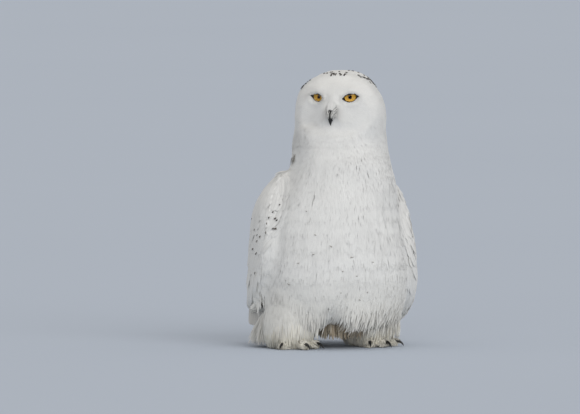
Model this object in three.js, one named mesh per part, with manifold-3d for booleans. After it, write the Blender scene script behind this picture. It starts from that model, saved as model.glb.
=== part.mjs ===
// A life-size snowy owl, an adult male standing upright on both feet with its wings folded,
// its tail tip on the ground and its head turned to its right.
// Millimetres, +Z up. The body faces -Y, so the owl's left side is +X. Heights are above the floor.
import * as THREE from 'three';
import { mergeVertices } from 'three/addons/utils/BufferGeometryUtils.js';
import Module from 'manifold-3d';

// ---- Driving dimensions ----
const GAP = 0.35; // clearance between neighbouring solids
const POINT = 0.5; // half the thickness of a bill or claw at its very tip
const SQUARENESS = 2.1; // of the body's level sections: 2 is an oval, more is squarer
const HEAD_TURN = -43; // degrees about +Z, towards the owl's right
const HEAD_AXIS_Y = -33; // the head stands forward of the body's centre line
const HEAD = { height: 419, halfWidth: 83, front: 73, back: 75, up: 85, down: 88, power: 2.15 };
const DISC = { radius: 240, tiltDown: 4 }; // the facial disc: one very shallow dish round each eye
const EYE = { lateral: 32.4, forward: 59, height: 453.5, outward: 27, globe: 17, cornea: 12.6, bulge: 19.5 };
const LID_OPENING = { halfWidth: 16.5, halfHeight: 9, depth: 8 };
const BILL = { height: 436, forward: 62, tipHeight: 405.5, tipForward: 80, halfWidth: 8.5, halfDepth: 8 };
const JAW = { below: 15, halfWidth: 6, halfDepth: 4.2 }; // the lower half of the bill, under the upper
const COLLAR = { top: 388, topTilt: -8, bottom: 342, bottomTilt: -6 }; // the two cuts round the neck
const LEG = { right: { x: -81, y: 8 }, left: { x: 70, y: -2 }, top: 142, bottom: 15 };
const FOOT = { toeHalfWidth: 11, toeHalfHeight: 10, ankleRadius: 15, ankleTop: 20 };
const CLAW = { halfWidth: 3.6, halfHeight: 4, rootHeight: 9.5, kneeHeight: 10.8, tipHeight: 1.6 };
const TAIL = { rootHalfWidth: 38, tipHalfWidth: 66, camber: 9 };
const TAIL_LINE = [[92, 136], [148, 84], [190, 38], [228, -3]]; // y and z from under the rump to the floor

// The body at each height z: the centre line's y, half width, and reach to the front and to the back of it.
const BODY = [
  { z: 46, y: 14, halfWidth: 48, front: 56, back: 66 },
  { z: 53, y: 8, halfWidth: 88, front: 88, back: 102 },
  { z: 74, y: 4, halfWidth: 116, front: 113, back: 122 },
  { z: 108, y: 3, halfWidth: 133, front: 129, back: 128 },
  { z: 150, y: 2, halfWidth: 138, front: 135, back: 124 },
  { z: 195, y: 0, halfWidth: 134, front: 133, back: 117 },
  { z: 235, y: -4, halfWidth: 127, front: 127, back: 110 },
  { z: 270, y: -9, halfWidth: 117, front: 117, back: 102 },
  { z: 305, y: -16, halfWidth: 104, front: 104, back: 95 },
  { z: 335, y: -24, halfWidth: 92, front: 92, back: 89 },
  { z: 360, y: -27, halfWidth: 88, front: 85, back: 83 },
  { z: 385, y: -30, halfWidth: 84, front: 78, back: 75 },
  { z: 406, y: -33, halfWidth: 76, front: 62, back: 66 },
  { z: 414, y: -33, halfWidth: 50, front: 40, back: 44 },
];

// The folded wing at each height z: how far behind the owl's side its middle lies, the half angle that
// it covers round the body, how far it stands proud, and the radius of its lower part, which hangs free.
const WING = [
  { z: 322, angle: 24, half: 10, proud: 3, radius: 96, hangs: 0 },
  { z: 312, angle: 25, half: 18, proud: 13, radius: 98, hangs: 0 },
  { z: 290, angle: 27, half: 28, proud: 22, radius: 104, hangs: 0 },
  { z: 262, angle: 28, half: 36, proud: 26, radius: 114, hangs: 0 },
  { z: 225, angle: 29, half: 42, proud: 24, radius: 124, hangs: 0 },
  { z: 185, angle: 31, half: 46, proud: 22, radius: 132, hangs: 0 },
  { z: 145, angle: 35, half: 45, proud: 20, radius: 137, hangs: 0.2 },
  { z: 112, angle: 41, half: 39, proud: 18, radius: 140, hangs: 0.6 },
  { z: 86, angle: 47, half: 29, proud: 15, radius: 143, hangs: 0.9 },
  { z: 66, angle: 52, half: 17, proud: 10, radius: 147, hangs: 1 },
  { z: 58, angle: 54, half: 6, proud: 5, radius: 149, hangs: 1 },
];
const WING_EDGE = 2.5; // how blunt the wing's edges are: 2 is an oval section, more is blunter
const WING_RIM = 4; // how far the wing's rim lies inside the body's surface
const WING_BACK = { lying: 14, hanging: 6 }; // how deep the wing's inner side bows, by the body and below
// The left wing is held looser: turned forward, more so at its tip, and let down. Degrees, mm.
const WING_POSE = {
  right: { forward: 0, swing: 0, lower: 0, drop: 0 },
  left: { forward: 19, swing: 9, lower: 20, drop: 14 },
};

// The primaries' line, from under the wing to their tip beside the tail, round the body like the wing.
const PRIMARIES = [
  { angle: 42, radius: 143, z: 116 },
  { angle: 51, radius: 149, z: 88 },
  { angle: 61, radius: 168, z: 60 },
  { angle: 72, radius: 200, z: 36 },
];
const PRIMARIES_FOLLOW = 0.2; // how much of the wing's turn they share, as their tips stay by the tail

// Toes and their claws: degrees outward of straight ahead, reach of the toe, length of its claw.
const TOES = [
  { name: 'hind', turn: 186, reach: 34, claw: 17 },
  { name: 'inner', turn: -24, reach: 54, claw: 21 },
  { name: 'middle', turn: 4, reach: 60, claw: 21 },
  { name: 'outer', turn: 46, reach: 50, claw: 18 },
];

// ---- Materials ----
const material = (color, roughness) => new THREE.MeshStandardMaterial({ color, roughness, metalness: 0 });
const WHITE = material(0xe9eaea, 0.9);
const QUILL = material(0xdcdcda, 0.8);
const CREAM = material(0xe6dfcc, 0.9);
const HORN = material(0x16171a, 0.35);
const AMBER = material(0xd79a1e, 0.1);

// ---- Solids: closed geometry in, manifold-3d in the middle, geometry out ----
const wasm = await Module();
wasm.setup();

function solidOf(geometry) {
  const bare = geometry.index ? geometry.toNonIndexed() : geometry.clone();
  bare.deleteAttribute('normal');
  bare.deleteAttribute('uv');
  const merged = mergeVertices(bare, 1e-4);
  const made = new wasm.Manifold(new wasm.Mesh({
    numProp: 3,
    vertProperties: merged.attributes.position.array,
    triVerts: new Uint32Array(merged.index.array),
  }));
  return made;
}

function geometryOf(solid) {
  const { vertProperties, triVerts } = solid.getMesh();
  const geometry = new THREE.BufferGeometry();
  geometry.setAttribute('position', new THREE.BufferAttribute(new Float32Array(vertProperties), 3));
  geometry.setIndex(new THREE.BufferAttribute(new Uint32Array(triVerts), 1));
  geometry.computeVertexNormals();
  return geometry;
}

// A cut can leave crumbs beside the piece itself, which is the largest body.
const largest = (solid) => solid.decompose().reduce((a, b) => (b.volume() > a.volume() ? b : a));

// ---- Shapes ----
const radians = THREE.MathUtils.degToRad;
const power = (x, p) => Math.sign(x) * Math.abs(x) ** p;

// A smooth run through a table of sizes: t from 0 to 1 gives all of them in between.
function between(table) {
  const keys = Object.keys(table[0]);
  const values = table.flatMap((row) => keys.map((key) => row[key]));
  const curve = new THREE.CubicInterpolant(table.map((_, i) => i), values, keys.length);
  return (t) => {
    const found = curve.evaluate(t * (table.length - 1));
    return Object.fromEntries(keys.map((key, i) => [key, found[i]]));
  };
}

// One closed skin through rings of points, with a fan over each end.
function loft(rings) {
  const count = rings[0].length;
  const centre = (ring) => ring.reduce((sum, p) => sum.add(p), new THREE.Vector3()).divideScalar(count);
  const points = [...rings.flat(), centre(rings[0]), centre(rings.at(-1))];
  const faces = [];
  rings.forEach((_, r) => {
    for (let i = 0; i < count; i++) {
      const next = (i + 1) % count;
      const low = r * count;
      if (r === 0) faces.push(points.length - 2, next, i);
      if (r === rings.length - 1) {
        faces.push(points.length - 1, low + i, low + next);
      } else {
        faces.push(low + i, low + next, low + count + i);
        faces.push(low + next, low + count + next, low + count + i);
      }
    }
  });
  const geometry = new THREE.BufferGeometry().setFromPoints(points);
  geometry.setIndex(faces);
  const solid = solidOf(geometry);
  return solid.volume() > 0 ? solid : solidOf(geometry.setIndex(faces.reverse()));
}

// A level ring at height z: a rounded oval with its own reach to the front, back and sides.
function ovalRing({ x = 0, y = 0, z, halfWidth, front, back, squareness = SQUARENESS }, sides, grow = 0) {
  return Array.from({ length: sides }, (_, i) => {
    const angle = (i / sides) * Math.PI * 2;
    const reach = Math.sin(angle) > 0 ? back : front;
    return new THREE.Vector3(
      x + (halfWidth + grow) * power(Math.cos(angle), 2 / squareness),
      y + (reach + grow) * power(Math.sin(angle), 2 / squareness),
      z,
    );
  });
}

// A round bar along a curve: halfWidth across it and halfHeight towards up, both functions of t.
// Camber bows the section, so that its edges lie lower than its middle.
function sweep(curve, { halfWidth, halfHeight, up, camber = 0, steps = 8, sides = 10, grow = 0 }) {
  const rings = [];
  for (let i = 0; i <= steps; i++) {
    const t = i / steps;
    const along = curve.getTangent(t);
    const side = along.clone().cross(up).normalize();
    const lift = side.clone().cross(along);
    const centre = curve.getPoint(t);
    if (i === 0) centre.addScaledVector(along, -grow);
    if (i === steps) centre.addScaledVector(along, grow);
    rings.push(Array.from({ length: sides }, (_, k) => {
      const angle = (k / sides) * Math.PI * 2;
      const across = Math.cos(angle);
      return centre.clone()
        .addScaledVector(side, (halfWidth(t) + grow) * across)
        .addScaledVector(lift, (halfHeight(t) + grow) * Math.sin(angle) - camber * across * across);
    }));
  }
  return loft(rings);
}

const point = (x, y, z) => new THREE.Vector3(x, y, z);
const arc = (...points) => new THREE.CatmullRomCurve3(points, false, 'centripetal');
const box = (width, depth, height) => solidOf(new THREE.BoxGeometry(width, depth, height));
const BIG = 900;

// Everything above, or below, a plane at height z that is tilted about X.
const halfSpace = (up, z, tilt) => box(BIG, BIG, BIG)
  .translate([0, 0, up * BIG / 2])
  .rotate([tilt, 0, 0])
  .translate([0, 0, z]);
const above = (z, tilt = 0) => halfSpace(1, z, tilt);
const below = (z, tilt = 0) => halfSpace(-1, z, tilt);

// ---- Trunk, neck and head, made as one and parted by two thin cuts ----
const BODY_SIDES = 36;
const bodyAt = between(BODY);

function bodyColumn(grow = 0) {
  const steps = 20;
  const rings = [];
  for (let i = 0; i <= steps; i++) {
    const row = bodyAt(i / steps);
    if (i === 0) row.z -= grow;
    rings.push(ovalRing(row, BODY_SIDES, grow));
  }
  return loft(rings);
}

// Puts a solid that is modelled with the face towards -Y and the head's axis at the origin in its place.
const onHead = (solid) => solid.rotate([0, 0, HEAD_TURN]).translate([0, HEAD_AXIS_Y, 0]);

function headBall() {
  const steps = 14;
  const rings = [];
  for (let i = 1; i < steps; i++) {
    const angle = (i / steps - 0.5) * Math.PI;
    const rise = power(Math.sin(angle), 2 / HEAD.power);
    const swell = power(Math.cos(angle), 2 / HEAD.power);
    rings.push(ovalRing({
      z: HEAD.height + rise * (rise > 0 ? HEAD.up : HEAD.down),
      halfWidth: HEAD.halfWidth * swell,
      front: HEAD.front * swell,
      back: HEAD.back * swell,
      squareness: HEAD.power,
    }, 32));
  }
  return loft(rings);
}

// Stands a piece that points along -Y at one eye of the head: side is 1 for the owl's left.
const atEye = (solid, side) => solid
  .rotate([0, 0, side * EYE.outward])
  .translate([side * EYE.lateral, -EYE.forward, EYE.height]);

// The facial disc beside the bill.
function faceDish(side) {
  const dish = solidOf(new THREE.SphereGeometry(DISC.radius, 36, 24))
    .rotate([90, 0, 0])
    .translate([0, -DISC.radius - 1, 0])
    .rotate([DISC.tiltDown, 0, 0]);
  return atEye(dish, side);
}

// The almond between the lids.
function lidOpening(side) {
  const almond = solidOf(new THREE.SphereGeometry(1, 14, 8))
    .scale([LID_OPENING.halfWidth, LID_OPENING.depth, LID_OPENING.halfHeight]);
  return atEye(almond, side);
}

// The eyeball: a globe with the cornea bulging out of it, along -Y, its front at the origin.
function eyeball(side, grow = 0) {
  const globe = EYE.globe + grow;
  const cornea = EYE.cornea + grow;
  const corneaCentre = EYE.bulge - EYE.cornea;
  const meet = (globe ** 2 - cornea ** 2 + corneaCentre ** 2) / (2 * corneaCentre);
  const globeEnd = Math.acos(meet / globe);
  const corneaEnd = Math.acos((meet - corneaCentre) / cornea);
  const profile = [];
  for (let i = 0; i <= 6; i++) {
    const angle = Math.PI + (globeEnd - Math.PI) * (i / 6);
    profile.push(new THREE.Vector2(globe * Math.sin(angle), globe * Math.cos(angle)));
  }
  for (let i = 1; i <= 3; i++) {
    const angle = corneaEnd * (1 - i / 3);
    profile.push(new THREE.Vector2(cornea * Math.sin(angle), corneaCentre + cornea * Math.cos(angle)));
  }
  profile[0].x = 0;
  profile.at(-1).x = 0;
  const turned = solidOf(new THREE.LatheGeometry(profile, 14));
  const outward = turned.volume() > 0 ? turned : solidOf(new THREE.LatheGeometry(profile.reverse(), 14));
  return atEye(outward.rotate([90, 0, 0]).translate([0, EYE.bulge, 0]), side);
}

function billUpper(grow = 0) {
  const culmen = arc(
    point(0, -BILL.forward + 8, BILL.height - 1),
    point(0, -BILL.forward - 8, BILL.height - 2),
    point(0, -BILL.tipForward - 1, BILL.height - 11),
    point(0, -BILL.tipForward, BILL.tipHeight),
  );
  return sweep(culmen, {
    halfWidth: (t) => BILL.halfWidth * (1 - t ** 1.7) + POINT,
    halfHeight: (t) => BILL.halfDepth * (1 - t ** 1.6) + POINT,
    up: point(0, -0.3, 1),
    steps: 9,
    sides: 12,
    grow,
  });
}

function billLower(grow = 0) {
  const jaw = arc(
    point(0, -BILL.forward + 6, BILL.height - JAW.below),
    point(0, -BILL.forward - 6, BILL.height - JAW.below - 2),
    point(0, -BILL.tipForward + 5, BILL.height - JAW.below - 7),
  );
  return sweep(jaw, {
    halfWidth: (t) => JAW.halfWidth * (1 - t ** 2) + POINT,
    halfHeight: (t) => JAW.halfDepth * (1 - t ** 2) + POINT,
    up: point(0, 0, 1),
    steps: 5,
    sides: 10,
    grow,
  });
}

// ---- Wings ----
const wingAt = between(WING);

// The body's sizes at a height z, and its radius at an angle behind the owl's side, about its centre line.
function bodyRow(z) {
  let low = 0;
  let high = 1;
  for (let i = 0; i < 20; i++) {
    const middle = (low + high) / 2;
    if (bodyAt(middle).z < z) low = middle;
    else high = middle;
  }
  return bodyAt(low);
}

function bodyRadius({ halfWidth, front, back }, angle) {
  const reach = Math.sin(angle) > 0 ? back : front;
  const across = Math.abs(Math.cos(angle) / halfWidth) ** SQUARENESS;
  const along = Math.abs(Math.sin(angle) / reach) ** SQUARENESS;
  return (across + along) ** (-1 / SQUARENESS);
}

const poseOf = (side) => (side > 0 ? WING_POSE.left : WING_POSE.right);

// A crescent that hugs the body and swells outward in the middle. Below the belly it keeps its own radius.
function wing(side, grow = 0) {
  const pose = poseOf(side);
  const steps = 14;
  const arcSteps = 10;
  const rings = [];
  for (let i = 0; i <= steps; i++) {
    const row = wingAt(i / steps);
    const share = (WING[0].z - row.z) / (WING[0].z - WING.at(-1).z);
    const fall = pose.lower + pose.drop * share;
    const turn = row.angle - pose.forward - pose.swing * share;
    const z = row.z - fall + (i === 0 ? grow : 0) - (i === steps ? grow : 0);
    const body = bodyRow(z);
    const half = row.half + THREE.MathUtils.radToDeg(grow / row.radius);
    const ring = [];
    for (const face of [1, -1]) {
      for (let k = face > 0 ? 0 : 1; k < (face > 0 ? arcSteps : arcSteps - 1); k++) {
        const across = face * (2 * (k / (arcSteps - 1)) - 1);
        const angle = radians(turn + half * across);
        const own = THREE.MathUtils.lerp(bodyRadius(body, angle), row.radius, row.hangs);
        const swell = (1 - Math.abs(across) ** WING_EDGE) ** (1 / WING_EDGE);
        const back = THREE.MathUtils.lerp(WING_BACK.lying, WING_BACK.hanging, row.hangs);
        const bow = face > 0 ? (row.proud + WING_RIM) * swell : -back * swell;
        const radius = own - WING_RIM + bow + grow * Math.sign(bow);
        ring.push(point(side * radius * Math.cos(angle), body.y + radius * Math.sin(angle), z));
      }
    }
    rings.push(ring);
  }
  return loft(rings);
}

// The primaries beyond the folded wing: a long thin blade, standing on edge beside the tail.
function primaries(side, grow = 0) {
  const pose = poseOf(side);
  const turned = PRIMARIES_FOLLOW * (pose.forward + pose.swing);
  const out = ({ angle, radius, z }) => point(
    side * radius * Math.cos(radians(angle - turned)),
    radius * Math.sin(radians(angle - turned)),
    z - pose.drop,
  );
  return sweep(arc(...PRIMARIES.map(out)), {
    halfWidth: (t) => 9 + 15 * Math.sin(Math.PI * t ** 0.9),
    halfHeight: (t) => 6 - 3 * t,
    up: point(side * 0.5, 0.6, 0.7),
    steps: 7,
    sides: 12,
    grow,
  });
}

// The tail spreads over four fifths of its length, and its corners are rounded off at the end.
function tailHalfWidth(t) {
  const spread = THREE.MathUtils.lerp(TAIL.rootHalfWidth, TAIL.tipHalfWidth, Math.min(1, t * 1.25));
  return spread * (1 - 0.1 * Math.max(0, t - 0.85) / 0.15);
}

function tail(grow = 0) {
  const quills = arc(...TAIL_LINE.map(([y, z]) => point(0, y, z)));
  return sweep(quills, {
    halfWidth: tailHalfWidth,
    halfHeight: (t) => 11 - 7 * t,
    up: point(0, 0.75, 0.66),
    camber: TAIL.camber,
    steps: 7,
    sides: 16,
    grow,
  });
}

// ---- Legs and feet ----
const legAt = (side) => (side > 0 ? LEG.left : LEG.right);

// The feathered leg at each height z, about the ankle: from the hem above the foot up into the belly.
const TROUSER = [
  { z: LEG.bottom, y: 2, halfWidth: 34, front: 32, back: 32 },
  { z: LEG.bottom + 4, y: 2, halfWidth: 42, front: 40, back: 40 },
  { z: 32, y: 0, halfWidth: 50, front: 50, back: 48 },
  { z: 58, y: -4, halfWidth: 53, front: 60, back: 54 },
  { z: 100, y: -8, halfWidth: 52, front: 68, back: 58 },
  { z: LEG.top, y: -10, halfWidth: 44, front: 66, back: 58 },
];
const LEG_LEAN = 0.06; // how far the leg leans inward for each millimetre of height
const trouserAt = between(TROUSER);

function trouser(side, grow = 0) {
  const ankle = legAt(side);
  const steps = 10;
  const rings = [];
  for (let i = 0; i <= steps; i++) {
    const row = trouserAt(i / steps);
    const z = row.z - (i === 0 ? grow : 0);
    const lean = (row.z - 30) * LEG_LEAN;
    rings.push(ovalRing({ ...row, z, y: row.y + ankle.y, x: ankle.x - side * lean }, 20, grow));
  }
  return loft(rings);
}

// A toe's own line: out from the ankle, up over the knuckle and down to the ball behind the claw.
function toeLine(side, { turn, reach }) {
  const angle = radians(turn) * side;
  const { x, y } = legAt(side);
  const out = (distance, z) => point(x + distance * Math.sin(angle), y - distance * Math.cos(angle), z);
  return arc(out(0, 11), out(reach * 0.4, 10.5), out(reach * 0.75, 9), out(reach, 7.5));
}

function foot(side) {
  const { ankleRadius: r, ankleTop } = FOOT;
  const ankle = loft([ankleTop - 14, ankleTop].map((z) => ovalRing(
    { ...legAt(side), z, halfWidth: r, front: r, back: r }, 12)));
  const parts = TOES.map((toe) => sweep(toeLine(side, toe), {
    halfWidth: (t) => FOOT.toeHalfWidth * (t > 0.9 ? 0.8 : 1),
    halfHeight: (t) => (FOOT.toeHalfHeight + 2 * (1 - t)) * (t > 0.9 ? 0.85 : 1),
    up: point(0, 0, 1),
    steps: 3,
    sides: 8,
  }));
  return parts.reduce((sum, part) => sum.add(part), ankle).intersect(above(0));
}

function claw(side, toe, grow = 0) {
  const end = toeLine(side, toe).getPoint(1);
  const ahead = toeLine(side, toe).getTangent(1).setZ(0).normalize();
  const out = (distance, z) => end.clone().addScaledVector(ahead, distance).setZ(z);
  const hook = arc(
    out(-4, CLAW.rootHeight),
    out(toe.claw * 0.35, CLAW.kneeHeight),
    out(toe.claw * 0.78, CLAW.kneeHeight - 3.5),
    out(toe.claw, CLAW.tipHeight),
  );
  return sweep(hook, {
    halfWidth: (t) => CLAW.halfWidth * (1 - t) ** 0.8 + POINT,
    halfHeight: (t) => CLAW.halfHeight * (1 - t) ** 0.8 + POINT,
    up: point(0, 0, 1),
    steps: 4,
    sides: 6,
    grow,
  });
}

// ---- Assembly ----
const group = new THREE.Group();
const pieces = [];
const add = (name, solid, finish) => pieces.push({ name, solid: largest(solid), finish });

const SIDES = [['right', -1], ['left', 1]];
const face = SIDES.reduce((ball, [, side]) => ball.subtract(faceDish(side)), headBall());
const sockets = SIDES.reduce(
  (sum, [, side]) => sum.add(lidOpening(side)).add(eyeball(side, GAP)),
  billUpper(GAP).add(billLower(GAP)),
);
const carved = bodyColumn().add(onHead(face)).subtract(onHead(sockets));

const head = carved.intersect(above(COLLAR.top + GAP / 2, COLLAR.topTilt));
const neck = carved
  .intersect(below(COLLAR.top - GAP / 2, COLLAR.topTilt))
  .intersect(above(COLLAR.bottom + GAP / 2, COLLAR.bottomTilt));
const trunk = carved.intersect(below(COLLAR.bottom - GAP / 2, COLLAR.bottomTilt));
const trunkSpace = bodyColumn(GAP);

add('head', head, WHITE);
add('neck', neck, WHITE);
add('trunk', trunk, WHITE);
add('bill_upper', onHead(billUpper()), HORN);
add('bill_lower', onHead(billLower().subtract(billUpper(GAP))), HORN);

let standsBehind = trunkSpace; // what the tail has to keep clear of
for (const [name, side] of SIDES) {
  const wingSpace = wing(side, GAP);
  const legSpace = trouser(side, GAP);
  const bladeSpace = primaries(side, GAP);
  add(`eye_${name}`, onHead(eyeball(side)), AMBER);
  add(`wing_${name}`, wing(side).subtract(trunkSpace), WHITE);
  add(`primaries_${name}`, primaries(side).subtract(trunkSpace).subtract(wingSpace), QUILL);
  add(`leg_${name}`, trouser(side).subtract(trunkSpace).subtract(wingSpace), WHITE);
  const claws = TOES.map((toe) => [toe, claw(side, toe, GAP)]);
  const bareFoot = foot(side).subtract(legSpace);
  add(`foot_${name}`, claws.reduce((sum, [, space]) => sum.subtract(space), bareFoot), CREAM);
  for (const toe of TOES) {
    add(`claw_${name}_${toe.name}`, claw(side, toe).subtract(legSpace), HORN);
  }
  standsBehind = standsBehind.add(wingSpace).add(legSpace).add(bladeSpace);
}
add('tail', tail().subtract(standsBehind).intersect(above(0)), QUILL);

// The origin is the middle of the whole bird's box, on the floor.
const bounds = new THREE.Box3();
for (const { solid } of pieces) {
  const { min, max } = solid.boundingBox();
  bounds.expandByPoint(point(...min)).expandByPoint(point(...max));
}
const middle = bounds.getCenter(new THREE.Vector3()).setZ(bounds.min.z);

for (const { name, solid, finish } of pieces) {
  const mesh = new THREE.Mesh(geometryOf(solid), finish);
  mesh.name = name;
  mesh.position.copy(middle).negate();
  group.add(mesh);
}

export default group;
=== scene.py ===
"""Looks of a life-size snowy owl: one skin under a coat of feathers, amber eyes, black bill and claws.

Metres, +Z up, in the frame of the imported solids. The body faces -Y, so the owl's left side is +X.
"""
import math

import bpy
import numpy as np
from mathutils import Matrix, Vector, noise
from mathutils.bvhtree import BVHTree


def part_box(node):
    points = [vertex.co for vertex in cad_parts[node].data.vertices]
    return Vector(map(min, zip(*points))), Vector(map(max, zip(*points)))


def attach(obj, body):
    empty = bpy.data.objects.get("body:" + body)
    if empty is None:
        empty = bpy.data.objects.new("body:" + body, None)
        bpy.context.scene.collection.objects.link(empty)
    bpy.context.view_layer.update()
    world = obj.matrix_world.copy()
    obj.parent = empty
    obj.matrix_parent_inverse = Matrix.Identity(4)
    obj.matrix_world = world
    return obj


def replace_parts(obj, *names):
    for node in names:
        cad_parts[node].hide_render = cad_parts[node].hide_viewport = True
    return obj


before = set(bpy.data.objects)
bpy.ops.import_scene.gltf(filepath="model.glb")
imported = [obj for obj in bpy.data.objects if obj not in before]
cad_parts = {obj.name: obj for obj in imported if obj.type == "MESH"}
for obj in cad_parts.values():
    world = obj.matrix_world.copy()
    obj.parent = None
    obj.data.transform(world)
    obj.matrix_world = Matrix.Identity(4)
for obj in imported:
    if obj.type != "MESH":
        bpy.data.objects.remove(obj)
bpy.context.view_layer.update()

MM = 0.001
SIDES = (("right", -1), ("left", 1))
rng = np.random.default_rng(20)

# ---- Driving sizes, in millimetres and degrees ----
FACE_TURN = -43.0  # the head's heading: 0 is -Y, and more turns to the owl's left
EYE_OUTWARD = 27.0
EYE_FORWARD = 59.0  # the front of the cornea, ahead of the head's axis
GLOBE, CORNEA, BULGE = 17.0, 12.6, 19.5
HEAD_AXIS_Y = -33.0  # the head's axis, ahead of the body's
CAMERA = dict(azimuth=-28.0, elevation=3.0, distance=20000.0, frame_width=1050.0, across=-78.0, up=253.5)
FLESH = ["head", "neck", "trunk", "wing_right", "wing_left", "leg_right", "leg_left", "foot_right", "foot_left"]
VOXEL = 3.0
SWELL, RELAX_ROUNDS = 0.6, 14  # the solids' swelling before they are joined, and the hull's smoothing
FACE_BOTTOM = 370  # the lowest height that counts as the face
CAST_FROM = 140  # where rays towards the face start, ahead of the head's axis
SEEN_INWARD_UP = 430  # marks above this height move inward and down when they miss the coat
FLOOR_GAP = 0.5  # how far feathers stay clear of the floor
TUFT_PATCH, VANE_PATCH = 0.003, 0.006  # a blade's share of the skin's map
BARB_UNIT = 0.01  # metres of feather to one unit of the map of barbs
CELL = 0.004  # metres, the cells that put the skin's faces in order
WING_RAY = 0.4  # metres, how far out the rays onto a wing start
VENT_FEATHERS, FLANK_FEATHERS, BILL_BRISTLES, BILL_ROOT_FEATHERS = 620, 520, 230, 260
LIGHTS = (("key", 4, 30, 0.72, 40), ("fill", -22, 8, 1.0, 60))  # azimuth, elevation, energy, and angle across
WORLD_COLOUR, WORLD_STRENGTH = (1.0, 0.985, 0.965, 1), 0.58
FLOOR_HALF = 80.0  # metres


# ---- Small helpers ----
def unit(v):
    return v / np.maximum(np.linalg.norm(v, axis=-1, keepdims=True), 1e-9)


def dot(a, b):
    return (a * b).sum(-1, keepdims=True)


def tangent(v, normal):
    """The direction of v along the surface."""
    return unit(v - dot(v, normal) * normal)


def smooth(low, high, x):
    t = np.clip((x - low) / (high - low), 0, 1)
    return t * t * (3 - 2 * t)


def near(value, middle, spread):
    """1 at the middle, and falling off on both sides."""
    return np.exp(-(((value - middle) / spread) ** 2))


def mix(a, b, t):
    return a + (b - a) * t


def heading(degrees):
    a = math.radians(degrees)
    return np.array([math.sin(a), -math.cos(a), 0.0])


UP = np.array([0.0, 0.0, 1.0])


def placed(name, data):
    """A new object in the scene."""
    obj = bpy.data.objects.new(name, data)
    bpy.context.scene.collection.objects.link(obj)
    return obj


def read(items, key, width, kind=np.float32):
    """One property of a mesh's elements, a row for each."""
    out = np.empty(len(items) * width, kind)
    items.foreach_get(key, out)
    return out.reshape(-1, width)


def paint(attribute, colour):
    rgba = np.concatenate([colour, np.ones((len(colour), 1))], axis=1)
    attribute.data.foreach_set("color", rgba.astype(np.float32).ravel())


def halved(quads):
    """Each quad as two triangles: the first of all quads, then the second."""
    return np.concatenate([quads[:, [0, 1, 2]], quads[:, [0, 2, 3]]])


def face_normals(co, tris):
    a, b, c = (co[tris[:, i]] for i in range(3))
    return np.cross(b - a, c - a)


def outward(co, tris, about):
    """The triangles of a closed form round a place, turned so that they face out."""
    a, b, c = (co[tris[:, i]] - about for i in range(3))
    return tris if (np.cross(a, b) * c).sum() > 0 else tris[:, ::-1]


def node_arrays(name):
    """The corners and triangles of a solid, with shared corners merged."""
    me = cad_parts[name].data
    co = read(me.vertices, "co", 3)
    me.calc_loop_triangles()
    tri = read(me.loop_triangles, "vertices", 3, np.int32)
    merged, back = np.unique(np.round(co.astype(float), 6), axis=0, return_inverse=True)
    tri = back.reshape(-1)[tri]
    return merged, tri[(tri[:, 0] != tri[:, 1]) & (tri[:, 1] != tri[:, 2]) & (tri[:, 0] != tri[:, 2])]


def tree_of(co, faces):
    return BVHTree.FromPolygons(co.tolist(), faces.tolist())


def nearest(tree, points):
    """The nearest place on a surface, its normal and its distance, for each point."""
    found = [tree.find_nearest(p) for p in points.tolist()]
    return [np.array([f[k] for f in found]) for k in (0, 1, 3)]


def cast(tree, start, direction):
    """The first place that a ray meets and the normal there, or None for both."""
    place, normal, _, _ = tree.ray_cast(Vector(start), Vector(direction))
    return (None, None) if place is None else (np.array(place), np.array(normal))


# ---- Landmarks: the eyes, and the head's and the body's own frames ----
def eye_axis(side):
    return heading(FACE_TURN + side * EYE_OUTWARD)


def eye_centre(name, side):
    co, _ = node_arrays("eye_" + name)
    axis = eye_axis(side)
    middle = co.mean(0)
    return middle + axis * (((co - middle) @ axis).min() + GLOBE * MM)


EYES = {side: eye_centre(name, side) for name, side in SIDES}
FACE = heading(FACE_TURN)
FACE_LEFT = heading(FACE_TURN + 90)
globe_forward = EYE_FORWARD - BULGE * math.cos(math.radians(EYE_OUTWARD))
HEAD_AXIS = (EYES[1] + EYES[-1]) / 2 - FACE * globe_forward * MM
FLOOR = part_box("foot_right")[0].z
BODY_AXIS = np.array([HEAD_AXIS[0], HEAD_AXIS[1] - HEAD_AXIS_Y * MM, FLOOR])


def on_head(left, forward, height):
    """A place given in the head's own frame."""
    place = HEAD_AXIS + FACE_LEFT * left * MM + FACE * forward * MM
    return np.array([place[0], place[1], FLOOR + height * MM])


def on_body(x, y, z):
    return BODY_AXIS + np.array([x, y, z]) * MM


BILL_TOP = on_head(0, 64, 439)

# The photograph's view: to its right, back to the camera, and up.
view_turn, view_rise = math.radians(CAMERA["azimuth"]), math.radians(CAMERA["elevation"])
SEEN_RIGHT = np.array([math.cos(view_turn), math.sin(view_turn), 0.0])
SEEN_BACK = np.array([math.sin(view_turn) * math.cos(view_rise), -math.cos(view_turn) * math.cos(view_rise),
                      math.sin(view_rise)])
SEEN_UP = np.cross(SEEN_BACK, SEEN_RIGHT)
FRONT = heading(CAMERA["azimuth"])  # level, towards the camera

# How far the coat stands in from the solids, or out from them, at its two edges in that view: height, millimetres.
TRIM_LEFT = [(31, 3), (58, 2), (85, -1), (112, -3), (139, -5), (167, -5), (194, -4), (239, -1), (266, -1), (302, -4),
             (326, -9), (338, -6), (357, -2), (375, 2), (393, 5), (411, 3.5), (429, 2), (447, 3), (465, 5), (483, 4)]
TRIM_RIGHT = [(8, -12), (22, -9), (40, -4), (58, 3), (85, 7), (112, 4), (136, 0), (157, -4), (185, -5), (212, -9),
              (239, -11), (266, -8), (284, -4), (302, 0), (329, -3), (357, -1.5), (384, 0), (411, -2), (447, -3),
              (483, -5)]


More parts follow.
